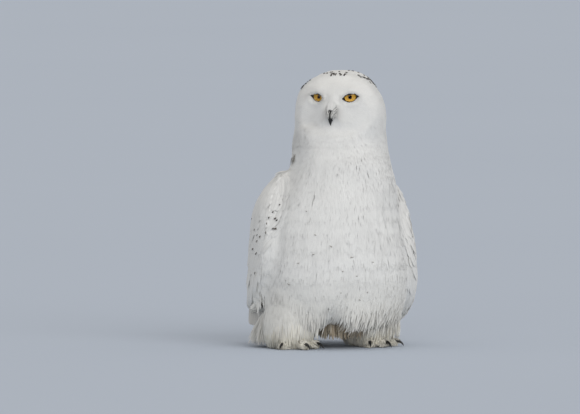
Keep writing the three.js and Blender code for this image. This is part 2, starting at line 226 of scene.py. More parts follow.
def trim(points, normals):
    seen_up = (points - BODY_AXIS) @ SEEN_UP / MM
    sideways = normals @ SEEN_RIGHT
    left = np.interp(seen_up, *zip(*TRIM_LEFT)) * smooth(-0.45, -0.9, sideways)
    return left + np.interp(seen_up, *zip(*TRIM_RIGHT)) * smooth(0.45, 0.9, sideways)


# ---- The hull: the solids' common outline, smooth, and the skin that lies inside it ----
class Surface:
    """A closed mesh of quads, with what is known at each of its corners."""

    def __init__(self, co, quads):
        self.co, self.quads = co, quads
        self.tris = halved(quads)
        pairs = np.concatenate([quads[:, [0, 1]], quads[:, [1, 2]], quads[:, [2, 3]], quads[:, [3, 0]]])
        self.edges = np.unique(np.sort(pairs, axis=1), axis=0)
        self.links = np.maximum(np.bincount(self.edges.ravel(), minlength=len(co)), 1)

    def normals(self):
        face = face_normals(self.co, self.tris)
        total = np.zeros_like(self.co)
        for i in range(3):
            for k in range(3):
                total[:, k] += np.bincount(self.tris[:, i], face[:, k], len(self.co))
        return unit(total)

    def averaged(self, values):
        """For each corner, the mean of its neighbours' values."""
        flat = values.reshape(len(values), -1)
        a, b = self.edges.T
        out = np.empty_like(flat)
        for k in range(flat.shape[1]):
            out[:, k] = np.bincount(a, flat[b, k], len(flat)) + np.bincount(b, flat[a, k], len(flat))
        return (out / self.links[:, None]).reshape(values.shape)

    def blurred(self, values, rounds):
        for _ in range(rounds):
            values = values + 0.5 * (self.averaged(values) - values)
        return values

    def relax(self, rounds):
        """Takes off the voxels' steps without shrinking the form."""
        for _ in range(rounds):
            for strength in (0.5, -0.52):
                self.co = self.co + strength * (self.averaged(self.co) - self.co)


def ball(centre, axes, radii, turns=20, rows=12):
    """The corners and triangles of an ellipsoid."""
    rise = np.linspace(0, math.pi, rows + 1)[1:-1]
    turn = np.linspace(0, 2 * math.pi, turns, endpoint=False)
    local = [(math.sin(r) * math.cos(t), math.sin(r) * math.sin(t), math.cos(r)) for r in rise for t in turn]
    local = np.array(local + [(0, 0, 1), (0, 0, -1)]) * np.array(radii)
    co = centre + local @ np.array(axes)
    tris = []
    top, bottom = len(local) - 2, len(local) - 1
    for k in range(turns):
        n = (k + 1) % turns
        tris.append((top, k, n))
        last = (rows - 2) * turns
        tris.append((bottom, last + n, last + k))
        for r in range(rows - 2):
            a, b = r * turns + k, r * turns + n
            tris += [(a, a + turns, b), (b, a + turns, b + turns)]
    return co, np.array(tris)


def union_of(parts):
    """One voxel mesh round closed meshes that touch or overlap."""
    corners, faces, start = [], [], 0
    for co, tri in parts:
        corners.append(co)
        faces.append(tri + start)
        start += len(co)
    me = bpy.data.meshes.new("union")
    me.from_pydata(np.concatenate(corners).tolist(), [], np.concatenate(faces).tolist())
    obj = placed("union", me)
    remesh = obj.modifiers.new("union", "REMESH")
    remesh.mode = "VOXEL"
    remesh.voxel_size = VOXEL * MM
    made = bpy.data.meshes.new_from_object(obj.evaluated_get(bpy.context.evaluated_depsgraph_get()))
    co = read(made.vertices, "co", 3).astype(float)
    quads = read(made.loops, "vertex_index", 1, np.int32).reshape(-1, 4)
    bpy.data.objects.remove(obj)
    return Surface(co, quads)


def swollen(co, tri, by):
    """A solid pushed out a little, so that the thin cuts between the solids close."""
    face = face_normals(co, tri)
    total = np.zeros_like(co)
    for i in range(3):
        np.add.at(total, tri[:, i], face)
    return co + unit(total) * by, tri


flesh = {name: node_arrays(name) for name in FLESH}
plugs = [ball(BILL_TOP - FACE * 0.012 - UP * 0.006, (FACE_LEFT, FACE, UP), (0.011, 0.014, 0.013))]
for side, centre in EYES.items():
    axis = eye_axis(side)
    across = np.cross(UP, axis)
    plugs.append(ball(centre + axis * 0.0115, (across, axis, UP), (0.0175, 0.0065, 0.0105)))
hull = union_of([swollen(*flesh[name], SWELL * MM) for name in FLESH] + plugs)
hull.relax(RELAX_ROUNDS)
hull_normal = hull.normals()

# Which solid each corner of the hull belongs to.
gaps = np.stack([nearest(tree_of(*flesh[name]), hull.co)[2] for name in FLESH])
REGION = gaps.argmin(0)


def belongs(*names):
    return np.isin(REGION, [FLESH.index(n) for n in names])


height = (hull.co[:, 2] - FLOOR) / MM
is_head = belongs("head")
is_leg, is_foot = belongs("leg_right", "leg_left"), belongs("foot_right", "foot_left")


def eye_frame(side):
    """Towards the temple, up, and forward out of the eye."""
    return side * heading(FACE_TURN + side * EYE_OUTWARD + 90), UP, eye_axis(side)


def in_eye(points, side):
    """Places in an eye's own frame, in millimetres from the globe's centre."""
    return (points - EYES[side]) @ np.array(eye_frame(side)).T / MM


# The opening between the lids: its two corners, and how far each lid bows from the line between them.
LID = dict(nasal=(-14.6, -2.6), temporal=(15.0, 1.8), upper=6.2, lower=7.4, upper_shape=2.8, lower_shape=2.0)


def lid_edges(s, margin=0.0):
    """The upper and the lower lid's edge at s, which runs from -1 to 1 between the two corners."""
    y0, y1 = LID["nasal"][1], LID["temporal"][1]
    line = (y0 + y1) / 2 + s * (y1 - y0) / 2
    bows = [(LID[lid] + margin) * (1 - abs(s) ** LID[lid + "_shape"]) for lid in ("upper", "lower")]
    return line + bows[0], line - bows[1]


def lid_opening(across, up, margin=0.0):
    """How far inside the lids a place lies, in millimetres: more than 0 is inside."""
    x0, x1 = LID["nasal"][0], LID["temporal"][0]
    s = np.clip((across - (x0 + x1) / 2) / ((x1 - x0) / 2 + margin), -1, 1)
    upper, lower = lid_edges(s, margin)
    return np.minimum(upper - up, up - lower)


# How far round the head a place lies from straight ahead of the face, in degrees, and its height.
from_axis = hull.co - HEAD_AXIS
round_face = np.degrees(np.arctan2(from_axis @ FACE_LEFT, from_axis @ FACE))
DISC = dict(middle=445.0, half_turn=72.0, above=54.0, below=64.0)
disc_reach = np.where(height > DISC["middle"], DISC["above"], DISC["below"])
disc = np.abs(round_face / DISC["half_turn"]) ** 2.2 + np.abs((height - DISC["middle"]) / disc_reach) ** 2.2
disc = disc ** (1 / 2.2)
disc = np.where(height > FACE_BOTTOM, disc, 9.0)
face_share = smooth(1.15, 0.85, disc)

# The folded wings: height, and the front and rear edges in degrees round the body from straight out at its side.
WING_SPAN = np.array([
    (322, 10, 40), (308, -8, 48), (290, -16, 57), (262, -20.5, 66), (225, -20.5, 71), (185, -17, 77),
    (145, -9, 81), (112, 2, 80), (86, 16, 76), (66, 34, 69), (57, 48, 60)], float)
# How far the breast's feathers lie over each wing's front edge: height, degrees.
OVERLAP = {-1: [(66, 0), (86, 4), (112, 9), (145, 14), (185, 12), (225, 5), (262, 1), (290, 0)], 1: [(66, 0), (290, 0)]}
WING_POSE = {-1: (0, 0, 0, 0), 1: (19, 9, 20, 14)}  # turned forward, and more low down; let down, and more low down


def wing_span(side):
    """A wing's rows as it is held: height, front edge, rear edge."""
    forward, swing, lower, drop = WING_POSE[side]
    z, front, rear = WING_SPAN.T
    share = (z[0] - z) / (z[0] - z[-1])
    front = front + np.interp(z, *zip(*OVERLAP[side]))
    return np.stack([z - lower - drop * share, front - forward - swing * share, rear - forward - swing * share], axis=1)


def round_body(points, side):
    """A place's turn round the body in degrees, from straight out at one side, and its height in millimetres."""
    place = points - BODY_AXIS
    return np.degrees(np.arctan2(place[:, 1], side * place[:, 0])), place[:, 2] / MM


def wing_edges(rows, z):
    """A wing's front and rear edges at a height; rows run upward."""
    return np.interp(z, rows[:, 0], rows[:, 1]), np.interp(z, rows[:, 0], rows[:, 2])


def in_wing(points, side, front_margin=0.0):
    turn, z = round_body(points, side)
    rows = wing_span(side)[::-1]
    front, rear = wing_edges(rows, z)
    return (z > rows[0, 0]) & (z < rows[-1, 0]) & (turn > front + front_margin) & (turn < rear)


is_wing = np.zeros(len(hull.co), bool)
for side in (-1, 1):
    is_wing |= in_wing(hull.co, side, 2.0) & ~is_leg & ~is_foot

# Feather length, half width and the coat's depth over the body, in millimetres.
length = np.interp(height, [20, 70, 150, 300, 350, 385, 420], [30, 38, 32, 24, 15, 10.5, 10])
width = np.interp(height, [20, 70, 150, 300, 350, 385, 420], [1.05, 1.15, 1.4, 1.35, 1.05, 0.82, 0.85])
depth = np.interp(height, [0, 60, 200, 330, 385, 420], [3.6, 4.4, 4.2, 3.7, 3.1, 2.8])
eye_gap = np.full(len(hull.co), 99.0)
for side in EYES:
    local = in_eye(hull.co, side)
    off = np.hypot(local[:, 0], local[:, 1])
    eye_gap = np.minimum(eye_gap, np.where(local[:, 2] > 0, off, 99.0))
bill_gap = np.linalg.norm(hull.co - BILL_TOP, axis=1) / MM
face_length = np.minimum(np.interp(eye_gap, [14, 20, 34], [3.0, 5.0, 8.0]), np.interp(bill_gap, [8, 30], [5.0, 8.5]))
length = np.where(is_head, mix(10.5, face_length, face_share), length)
width = np.where(is_head, mix(0.85, np.interp(eye_gap, [14, 30], [0.38, 0.68]), face_share), width)
depth = np.where(is_head, mix(3.2, np.interp(eye_gap, [14, 26], [1.0, 1.8]), face_share), depth)
for part, its_sizes in ((is_wing, (14.0, 2.4, 3.2)), (is_foot, (12.0, 0.8, 2.2))):
    length, width, depth = (np.where(part, a, b) for a, b in zip(its_sizes, (length, width, depth)))
length, width, depth = (hull.blurred(v, 14) for v in (length, width, depth))


# ---- The lie of the coat ----
def lie_of_coat():
    p, n = hull.co, hull_normal
    down = np.tile(np.array([0.0, 0.28, -1.0]), (len(p), 1))
    down[is_wing] = (0.0, 0.5, -1.0)
    flow = tangent(down, n)
    for name in ("foot_right", "foot_left"):
        middle = np.array(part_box(name)[0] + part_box(name)[1]) / 2 + np.array([0, 0.012, 0])
        away = p - middle
        away[:, 2] = 0
        here = belongs(name)
        flow[here] = tangent(unit(away[here]) - 0.35 * UP, n[here])
    back = tangent(-FACE - 0.55 * UP, n)
    face = unit(p - BILL_TOP)
    for side in EYES:
        local = in_eye(p, side)
        across, up, _ = eye_frame(side)
        radial = unit(local[:, :1] * across + local[:, 1:2] * up)
        by_eye = near(np.hypot(local[:, 0], local[:, 1]), 0, 21) * (local[:, 2] > 0)
        face = face + 2.2 * by_eye[:, None] * radial
    below = near(bill_gap, 0, 26) * (p[:, 2] < BILL_TOP[2])
    face = face - below[:, None] * UP
    head_flow = unit(mix(back, tangent(face, n), face_share[:, None]))
    flow = np.where(is_head[:, None], head_flow, flow)
    for _ in range(6):
        flow = tangent(hull.blurred(flow, 2), n)
    return flow


flow = lie_of_coat()


def ripple(points, scale, seed):
    """Smooth noise from -1 to 1; scale is the size of its waves along x, y and z, in millimetres."""
    q = (points / MM) / np.array(scale) + seed
    return np.array([noise.noise(Vector(v)) for v in q.tolist()])


# Broad mounds on the body, long hanging locks low on it, and the face's own relief.
low = smooth(230, 90, height) * ~is_wing * ~is_foot
body_share = hull.blurred((~is_head & ~is_wing & ~is_foot).astype(float), 10)
front_share = smooth(30, -30, (hull.co - BODY_AXIS)[:, 1] / MM)
relief = 2.2 * ripple(hull.co, (52, 52, 80), 3.1) * body_share
relief += 1.7 * ripple(hull.co, (19, 19, 95), 7.7) * hull.blurred(low, 8)
relief += 0.6 * ripple(hull.co, (15, 15, 60), 1.9) * body_share
relief += (2.5 * near(height, 335, 18) - 1.0 * near(height, 366, 12)) * front_share * ~is_head
face_front = near(round_face, 0, 75) * (height > FACE_BOTTOM)
relief += (1.6 * near(disc, 0.97, 0.06) - 1.6 * near(disc, 0.82, 0.10) - 2.2 * smooth(1.0, 1.15, disc)) * face_front
relief += 1.6 * near(round_face, 0, 7) * near(height, 452, 16)
for side in EYES:
    local = in_eye(hull.co, side)
    in_front = local[:, 2] > 4
    relief += 1.8 * near(local[:, 0], 0, 12) * near(local[:, 1], 14.5, 4.5) * in_front
    relief -= 1.2 * near(eye_gap, 22, 5) * (local[:, 1] < 4) * in_front
# below the bill the face's bristles end in a low step on each side
step_line = 410 - 0.10 * np.abs(round_face)
relief -= 2.8 * near(height, step_line - 6, 8) * near(np.abs(round_face), 17, 14) * face_front
relief = hull.blurred(relief, 2)
outline = hull.blurred(trim(hull.co, hull_normal) * ~is_foot, 8)
relief += np.minimum(outline, 0)
proud = np.maximum(outline, 0)
turn = 0.40 * ripple(hull.co, (30, 30, 60), 5.3)[:, None]
flow = unit(flow + turn * np.cross(hull_normal, flow))

seen_across = (hull.co - BODY_AXIS) @ SEEN_RIGHT / MM
hang = 0.62 * near(height, 72, 40) * smooth(0.1, -0.35, hull_normal[:, 1]) * (1 - 0.9 * near(seen_across, 5, 22))
hang = hang * ~is_wing * ~is_foot
hang = hull.blurred(hang, 14)
proud += 4.0 * hull.blurred(near(height, 28, 20) * is_leg * smooth(0.3, -0.3, hull_normal[:, 1]), 16)

skin = Surface(hull.co.copy(), hull.quads)
skin.co = skin.co + hull_normal * ((relief - depth) * MM)[:, None]
for side in EYES:
    local = in_eye(hull.co, side)
    inside = smooth(-0.6, 1.6, lid_opening(local[:, 0], local[:, 1])) * (local[:, 2] > 5)
    skin.co = skin.co - eye_axis(side) * (inside * 11 * MM)[:, None]
crease = (0.9 * near(height, 380, 18) + 0.95 * smooth(160, 130, height) * smooth(50, 75, height))[:, None]
skin.co = mix(skin.co, skin.blurred(skin.co, 40), crease)
skin_normal = skin.normals()


# ---- Colour ----
WHITE = np.array([0.80, 0.795, 0.772])
CREAM = np.array([0.78, 0.74, 0.63])
TAN = np.array([0.36, 0.27, 0.17])
SOOT = np.array([0.016, 0.014, 0.014])
BROWN = np.array([0.10, 0.075, 0.055])
# a grey for faint markings, and also painted shade beside the bill and at the right wing's end
GREY_MARK_AND_SHADE = np.array([0.36, 0.34, 0.31])
# a beige grey for flight feathers and the tail, and also painted shade on the primaries that lie under the others
BEIGE_AND_SHADE = np.array([0.52, 0.50, 0.43])


def coat_colour(points):
    """The coat's ground colour at places on it, greyed beside and below the bill by painted shade."""
    z = (points[:, 2] - FLOOR) / MM
    x = (points[:, 0] - BODY_AXIS[0]) / MM
    y = (points[:, 1] - BODY_AXIS[1]) / MM
    cream = 0.3 * smooth(150, 40, z) + 0.6 * smooth(26, 5, z)
    between_legs = smooth(44, 16, np.abs(x + 4)) * smooth(72, 50, z) * smooth(-78, -35, y)
    colour = mix(np.tile(WHITE, (len(points), 1)), CREAM, cream[:, None])
    colour = mix(colour, TAN, between_legs[:, None])
    from_bill = points - BILL_TOP
    aside, below = np.abs(from_bill @ FACE_LEFT) / MM, -from_bill[:, 2] / MM
    # painted shade: the face greys beside and below the bill, where the bristles and the chin's recess would shade it
    bill_shade = 0.30 * near(aside, 13, 7) * smooth(-6, 8, below) * smooth(34, 20, below) * (from_bill @ FACE > -0.03)
    return mix(colour, GREY_MARK_AND_SHADE, bill_shade[:, None])


# ---- Meshes from arrays ----
def piece(name, co, faces, material, colour=None, normals=None, maps=None):
    """One mesh object that rides with the bird."""
    me = bpy.data.meshes.new(name)
    me.vertices.add(len(co))
    me.vertices.foreach_set("co", co.astype(np.float32).ravel())
    me.loops.add(faces.size)
    me.loops.foreach_set("vertex_index", faces.astype(np.int32).ravel())
    me.polygons.add(len(faces))
    me.polygons.foreach_set("loop_start", np.arange(len(faces), dtype=np.int32) * faces.shape[1])
    me.polygons.foreach_set("use_smooth", np.ones(len(faces), bool))
    me.update(calc_edges=True)
    for layer, uv in (maps or {}).items():
        me.uv_layers.new(name=layer).uv.foreach_set("vector", uv[faces.ravel()].astype(np.float32).ravel())
    if colour is not None:
        attribute = me.color_attributes.new("tint", "FLOAT_COLOR", "POINT")
        paint(attribute, colour)
    if normals is not None:
        attribute = me.attributes.new("custom_normal", "FLOAT_VECTOR", "CORNER")
        attribute.data.foreach_set("vector", unit(normals)[faces.ravel()].astype(np.float32).ravel())
    me.materials.append(material)
    obj = placed(name, me)
    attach(obj, "root")
    return obj


# A blade's section: across and up, in half widths, and how many of its corners are the upper face, edge to edge.
# The lower face runs back from edge to edge with corners of its own, so that each face is lit as it lies.
SLIM = (np.array([[-1.0, -0.10], [0.0, 0.16], [1.0, -0.10], [1.0, -0.10], [-1.0, -0.10]]), 3)
BROAD = (np.array([[-1.0, -0.16], [-0.55, 0.02], [0.0, 0.09], [0.55, 0.02], [1.0, -0.16],
                   [1.0, -0.16], [0.0, -0.05], [-1.0, -0.16]]), 5)


def blade_faces(rings, sides, upper):
    """Triangles of one closed blade: rings of corners, a point at the end and a cap at the root."""
    tris = []
    for k in range(rings):
        for j in range(sides - 1):
            a, b = k * sides + j, k * sides + j + 1
            if j == upper - 1:
                continue
            if k == rings - 1:
                tris.append((a, b, rings * sides + (j >= upper)))
            else:
                tris += [(a, b, b + sides), (a, b + sides, a + sides)]
    cap = list(range(upper)) + list(range(upper + 1, sides - 1))
    tris += [(0, cap[j + 1], cap[j]) for j in range(1, len(cap) - 1)]
    return np.array(tris)


def tube_faces(rings, sides):
    """Triangles of a closed tube: rings of corners, a point at the end and a cap at the root."""
    tris = []
    for k in range(rings):
        for j in range(sides):
            a, b = k * sides + j, k * sides + (j + 1) % sides
            tris += [(a, b, rings * sides)] if k == rings - 1 else [(a, b, b + sides), (a, b + sides, a + sides)]
    return np.array(tris + [(0, j + 1, j) for j in range(1, sides - 1)])


def blades(centre, up, half, section, tint, root_uv, patch=TUFT_PATCH, soften=0.2):
    """Closed blades along lines: centre and up are (n, stations, 3) and half is (n, stations).

    The last station is the tip. tint is (n, stations, 3), and root_uv is each root's place on the skin's map.
    """
    form, upper = section
    n, stations = half.shape
    along = np.gradient(centre, axis=1)
    side = unit(np.cross(along, up))
    lift = unit(np.cross(side, along))
    rings, sides = stations - 1, len(form)
    across = form[None, None, :, 0, None]
    rise = form[None, None, :, 1, None]
    h = half[:, :rings, None, None]
    body = centre[:, :rings, None] + side[:, :rings, None] * across * h + lift[:, :rings, None] * rise * h
    tip = np.repeat(centre[:, -1:], 2, axis=1)
    co = np.concatenate([body.reshape(n, -1, 3), tip], axis=1)
    co[..., 2] = np.maximum(co[..., 2], FLOOR + FLOOR_GAP * MM)
    facing_out = (np.arange(sides) < upper)[None, None, :, None]
    out = np.where(facing_out, up[:, :rings, None], -lift[:, :rings, None]) + side[:, :rings, None] * across * soften
    normals = np.concatenate([out.reshape(n, -1, 3), up[:, -1:], -lift[:, -1:]], axis=1)
    colour = np.concatenate([np.repeat(tint[:, :rings], sides, axis=1), np.repeat(tint[:, -1:], 2, axis=1)], axis=1)
    t = np.linspace(0, 1, stations)
    u = np.concatenate([np.tile(form[:, 0], rings), [0.0, 0.0]])
    v = np.concatenate([np.repeat(t[:rings], sides), [1.0, 1.0]])
    bake = root_uv[:, None] + np.stack([u * 0.5, v - 0.5], axis=1)[None] * patch
    reach = np.linalg.norm(np.diff(centre, axis=1), axis=2).sum(1)
    slant = np.abs(u)[None] * half.max(1)[:, None]
    barbs = np.stack([np.tile(u, (n, 1)), (v[None] * reach[:, None] - slant) / BARB_UNIT], axis=2)
    one = outward(co[0], blade_faces(rings, sides, upper), centre[0, 0])
    tris = (one[None] + np.arange(n)[:, None, None] * (rings * sides + 2)).reshape(-1, 3)
    co, *rest = (x.reshape(-1, x.shape[-1]) for x in (co, normals, colour, bake, barbs))
    return co, tris, *rest


class Coat:
    """Blades gathered into one piece."""

    def __init__(self):
        self.parts, self.count = [], 0

    def add(self, made):
        co, tris, *rest = made
        self.parts.append((co, tris + self.count, *rest))
        self.count += len(co)

    def lay(self, line, up, half, section, tone, **style):
        """Adds one blade; up and tone hold all along its line, or are given at each station."""
        up, tone = (np.broadcast_to(v, line.shape)[None] for v in (up, tone))
        self.add(blades(line[None], up, half[None], section, tone, uv_near(line[:1]), **style))

    def finish(self, name, material):
        co, tris, normals, colour, bake, barbs = (np.concatenate(x) for x in zip(*self.parts))
        return piece(name, co, tris, material, colour, normals, {"OFBake": bake, "Barbs": barbs})


# ---- Materials ----
def material(name, **values):
    """A principled material, and its tree and shader for what is added to it."""
    made = bpy.data.materials.new(name)
    made.use_nodes = True
    shader = made.node_tree.nodes["Principled BSDF"]
    for key, value in values.items():
        shader.inputs[key.replace("_", " ")].default_value = value
    return made, made.node_tree, shader


def noise_node(tree, vector, scale, detail):
    node = tree.nodes.new("ShaderNodeTexNoise")
    node.inputs["Scale"].default_value = scale
    node.inputs["Detail"].default_value = detail
    tree.links.new(vector, node.inputs["Vector"])
    return node.outputs["Fac"]


def remapped(tree, value, low, high, to_low, to_high):
    node = tree.nodes.new("ShaderNodeMapRange")
    for key, number in (("From Min", low), ("From Max", high), ("To Min", to_low), ("To Max", to_high)):
        node.inputs[key].default_value = number
    tree.links.new(value, node.inputs["Value"])
    return node.outputs["Result"]


def scaled(tree, colour, by):
    node = tree.nodes.new("ShaderNodeVectorMath")
    node.operation = "SCALE"
    tree.links.new(colour, node.inputs[0])
    tree.links.new(by, node.inputs["Scale"])
    return node.outputs["Vector"]


def relief_from(tree, shader, value, strength, distance):
    node = tree.nodes.new("ShaderNodeBump")
    node.inputs["Strength"].default_value = strength
    node.inputs["Distance"].default_value = distance
    tree.links.new(value, node.inputs["Height"])
    tree.links.new(node.outputs["Normal"], shader.inputs["Normal"])


def stretched(tree, vector, scale):
    node = tree.nodes.new("ShaderNodeMapping")
    node.inputs["Scale"].default_value = scale
    tree.links.new(vector, node.inputs["Vector"])
    return node.outputs["Vector"]


def place_of(tree):
    return tree.nodes.new("ShaderNodeTexCoord").outputs["Object"]


def two_tones(tree, shader, low, high):
    """Gives the shader a blend of two colours, and returns the input for the second one's share."""
    node = tree.nodes.new("ShaderNodeMix")
    node.data_type = "RGBA"
    node.inputs[6].default_value = (*low, 1)
    node.inputs[7].default_value = (*high, 1)
    tree.links.new(node.outputs[2], shader.inputs["Base Color"])
    return node.inputs[0]


def tint_of(tree):
    node = tree.nodes.new("ShaderNodeAttribute")
    node.attribute_name = "tint"
    return node.outputs["Color"]


def plumage_material(name, barb_scale, bump, shaft, **values):
    """White feather: its tint, soft mottling, the grain of its barbs and, on a vane, a faint shaft."""
    made, tree, shader = material(name, **values)
    place = place_of(tree)
    vane = tree.nodes.new("ShaderNodeUVMap")
    vane.uv_map = "Barbs"
    broad = remapped(tree, noise_node(tree, place, 22.0, 3.0), 0.3, 0.7, 0.95, 1.03)
    barbs = noise_node(tree, stretched(tree, vane.outputs["UV"], barb_scale), 1.0, 2.0)
    fine = remapped(tree, barbs, 0.3, 0.7, 0.965, 1.02)
    colour = scaled(tree, scaled(tree, tint_of(tree), broad), fine)
    if shaft:
        split = tree.nodes.new("ShaderNodeSeparateXYZ")
        tree.links.new(vane.outputs["UV"], split.inputs[0])
        off = tree.nodes.new("ShaderNodeMath")
        off.operation = "ABSOLUTE"
        tree.links.new(split.outputs["X"], off.inputs[0])
        colour = scaled(tree, colour, remapped(tree, off.outputs[0], 0.02, 0.09, 0.86, 1.0))
    tree.links.new(colour, shader.inputs["Base Color"])
    relief_from(tree, shader, barbs, bump, 0.0004)
    return made


down_material = plumage_material("down", (7.0, 1.0, 1.0), 0.2, False, Roughness=0.92, Specular_IOR_Level=0.12,
                                 Sheen_Weight=0.3, Sheen_Roughness=0.6)
vane_material = plumage_material("vane", (1.2, 26.0, 1.0), 0.3, True, Roughness=0.72, Specular_IOR_Level=0.2,
                                 Sheen_Weight=0.25, Sheen_Roughness=0.45)
fleck_material = plumage_material("fleck", (5.0, 3.0, 1.0), 0.2, False, Roughness=0.8, Specular_IOR_Level=0.2)


def skin_material():
    made, tree, shader = material("skin", Roughness=0.95, Specular_IOR_Level=0.1, Sheen_Weight=0.2)
    place = place_of(tree)
    down = noise_node(tree, place, 700.0, 3.0)
    tree.links.new(scaled(tree, tint_of(tree), remapped(tree, down, 0.3, 0.7, 0.93, 1.04)), shader.inputs["Base Color"])
    relief_from(tree, shader, down, 0.5, 0.0006)
    return made


# ---- The skin ----
skin_piece = piece("skin", skin.co, skin.quads, skin_material(), coat_colour(skin.co), skin_normal)
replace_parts(skin_piece, *FLESH)


def unwrap(obj):
    """A map of the skin's own shape, one place for each corner of each face."""
    obj.data.uv_layers.new(name="OFBake")
    bpy.context.view_layer.objects.active = obj
    obj.select_set(True)
    bpy.ops.object.mode_set(mode="EDIT")
    bpy.ops.mesh.select_all(action="SELECT")
    bpy.ops.uv.smart_project(angle_limit=math.radians(66), island_margin=0.003)
    bpy.ops.object.mode_set(mode="OBJECT")
    obj.select_set(False)
    return read(obj.data.uv_layers["OFBake"].uv, "vector", 2).reshape(-1, 4, 2).astype(float)


tri_uv = halved(unwrap(skin_piece))
skin_tree = tree_of(skin.co, skin.tris)


def uv_near(points):
    """The place on the skin's map that lies nearest to each point."""
    out = []
    for q in points.tolist():
        place, _, index, _ = skin_tree.find_nearest(q)
        weight = 1 / (np.linalg.norm(skin.co[skin.tris[index]] - np.array(place), axis=1) + 1e-6)
        out.append((tri_uv[index] * (weight / weight.sum())[:, None]).sum(0))
    return np.array(out)


# ---- Tufts over the skin ----
def mean_of(values):
    return values[skin.tris].mean(1)


def order_of(points):
    """Faces in an order that keeps neighbours together, so that even steps along it spread evenly."""
    cell = np.floor((points - points.min(0)) / CELL).astype(np.int64)
    key = np.zeros(len(points), np.int64)
    for bit in range(10):
        for k in range(3):
            key |= ((cell[:, k] >> bit) & 1) << (3 * bit + k)
    return np.argsort(key, kind="stable")


areas = np.linalg.norm(face_normals(skin.co, skin.tris), axis=1) / 2 / MM**2
face_order = order_of(mean_of(skin.co))


def roots(where, cover, size):
    """Places for tufts on the faces chosen: how many lie over one another is cover."""
    wanted = areas * where * cover * (1 + 0.6 * mean_of(hang)) / (mean_of(length) * 2 * mean_of(width) * size)
    total = np.cumsum(wanted[face_order])
    count = int(total[-1])
    steps = (np.arange(count) + rng.random(count)) * (total[-1] / count)
    face = face_order[np.searchsorted(total, steps)]
    r1, r2 = np.sqrt(rng.random(count)), rng.random(count)
    return face, np.stack([1 - r1, r1 * (1 - r2), r1 * r2], axis=1)


def at(values, face, share):
    picked = values[skin.tris[face]]
    return (picked * share.reshape(len(face), 3, *[1] * (picked.ndim - 2))).sum(1)


BODY_TUFT = dict(t=[0.0, 0.3, 0.62, 0.86, 1.0], half=[0.5, 1.0, 0.9, 0.5, 0.0], section=SLIM)
FINE_TUFT = dict(t=[0.0, 0.4, 0.75, 1.0], half=[0.55, 1.0, 0.62, 0.0], section=SLIM)
CONTOUR = dict(t=[0.0, 0.25, 0.55, 0.8, 0.94, 1.0], half=[0.4, 0.85, 1.0, 0.85, 0.45, 0.0], section=BROAD)


def tufts(where, cover, shape, size=1.0, broad=1.0, spread=0.12, shade=0.02, soften=0.12, lift=(0.92, 1.03)):
    """Slim closed locks that lie along the skin and rise to the coat's surface at their tips."""
    face, share = roots(where, cover, size * size * broad)
    n = len(face)
    p, normal = at(skin.co, face, share), unit(at(skin_normal, face, share))
    lie = tangent(at(flow, face, share), normal)
    lie = unit(lie + rng.normal(0, spread, (n, 1)) * np.cross(normal, lie))
    fall = at(hang, face, share)[:, None]
    lie = unit(mix(lie, -UP + 0.12 * normal, 0.8 * fall))
    reach = at(length, face, share) * rng.uniform(0.75, 1.25, n) * size * MM
    reach = reach * (1 + fall[:, 0] * rng.uniform(-0.5, 0.35, n))
    half = at(width, face, share) * rng.uniform(0.75, 1.25, n) * size * broad * MM
    rise = (at(depth, face, share) * rng.uniform(*lift, n) + at(proud, face, share)) * MM
    ahead, ahead_normal, _ = nearest(skin_tree, p + lie * reach[:, None])
    ahead_normal = np.where(dot(ahead_normal, normal) < 0, -ahead_normal, ahead_normal)
    drop = np.clip(dot(ahead - p - lie * reach[:, None], normal), -0.35 * reach[:, None], 0.35 * reach[:, None])
    drop = drop * (1 - 0.85 * fall)
    t = np.array(shape["t"])[None, :, None]
    height_at = np.interp(shape["t"], [0, 0.35, 1], [-0.15, 0.84, 1.0])[None, :, None]
    line = p[:, None] + lie[:, None] * (reach[:, None, None] * t)
    line = line + normal[:, None] * (drop[:, None] * t**2 + rise[:, None, None] * height_at)
    level = unit(normal - dot(normal, UP) * UP)
    up = unit(mix(normal[:, None], ahead_normal[:, None], 0.85 * t))
    up = unit(mix(up, level[:, None], np.minimum(1.3 * fall, 1)[:, None]))
    tint = coat_colour(line[:, -1]) * rng.uniform(1 - 2 * shade, 1 + shade, (n, 1))
    tint = tint[:, None] * np.interp(shape["t"], [0, 0.6], [0.95, 1.0])[None, :, None]
    root_uv = (tri_uv[face] * share[:, :, None]).sum(1)
    return blades(line, up, half[:, None] * np.array(shape["half"]), shape["section"], tint, root_uv, soften=soften)


def share_of(mask):
    """The skin's triangles that belong to a set of its corners."""
    return mean_of(mask.astype(float)) > 0.5


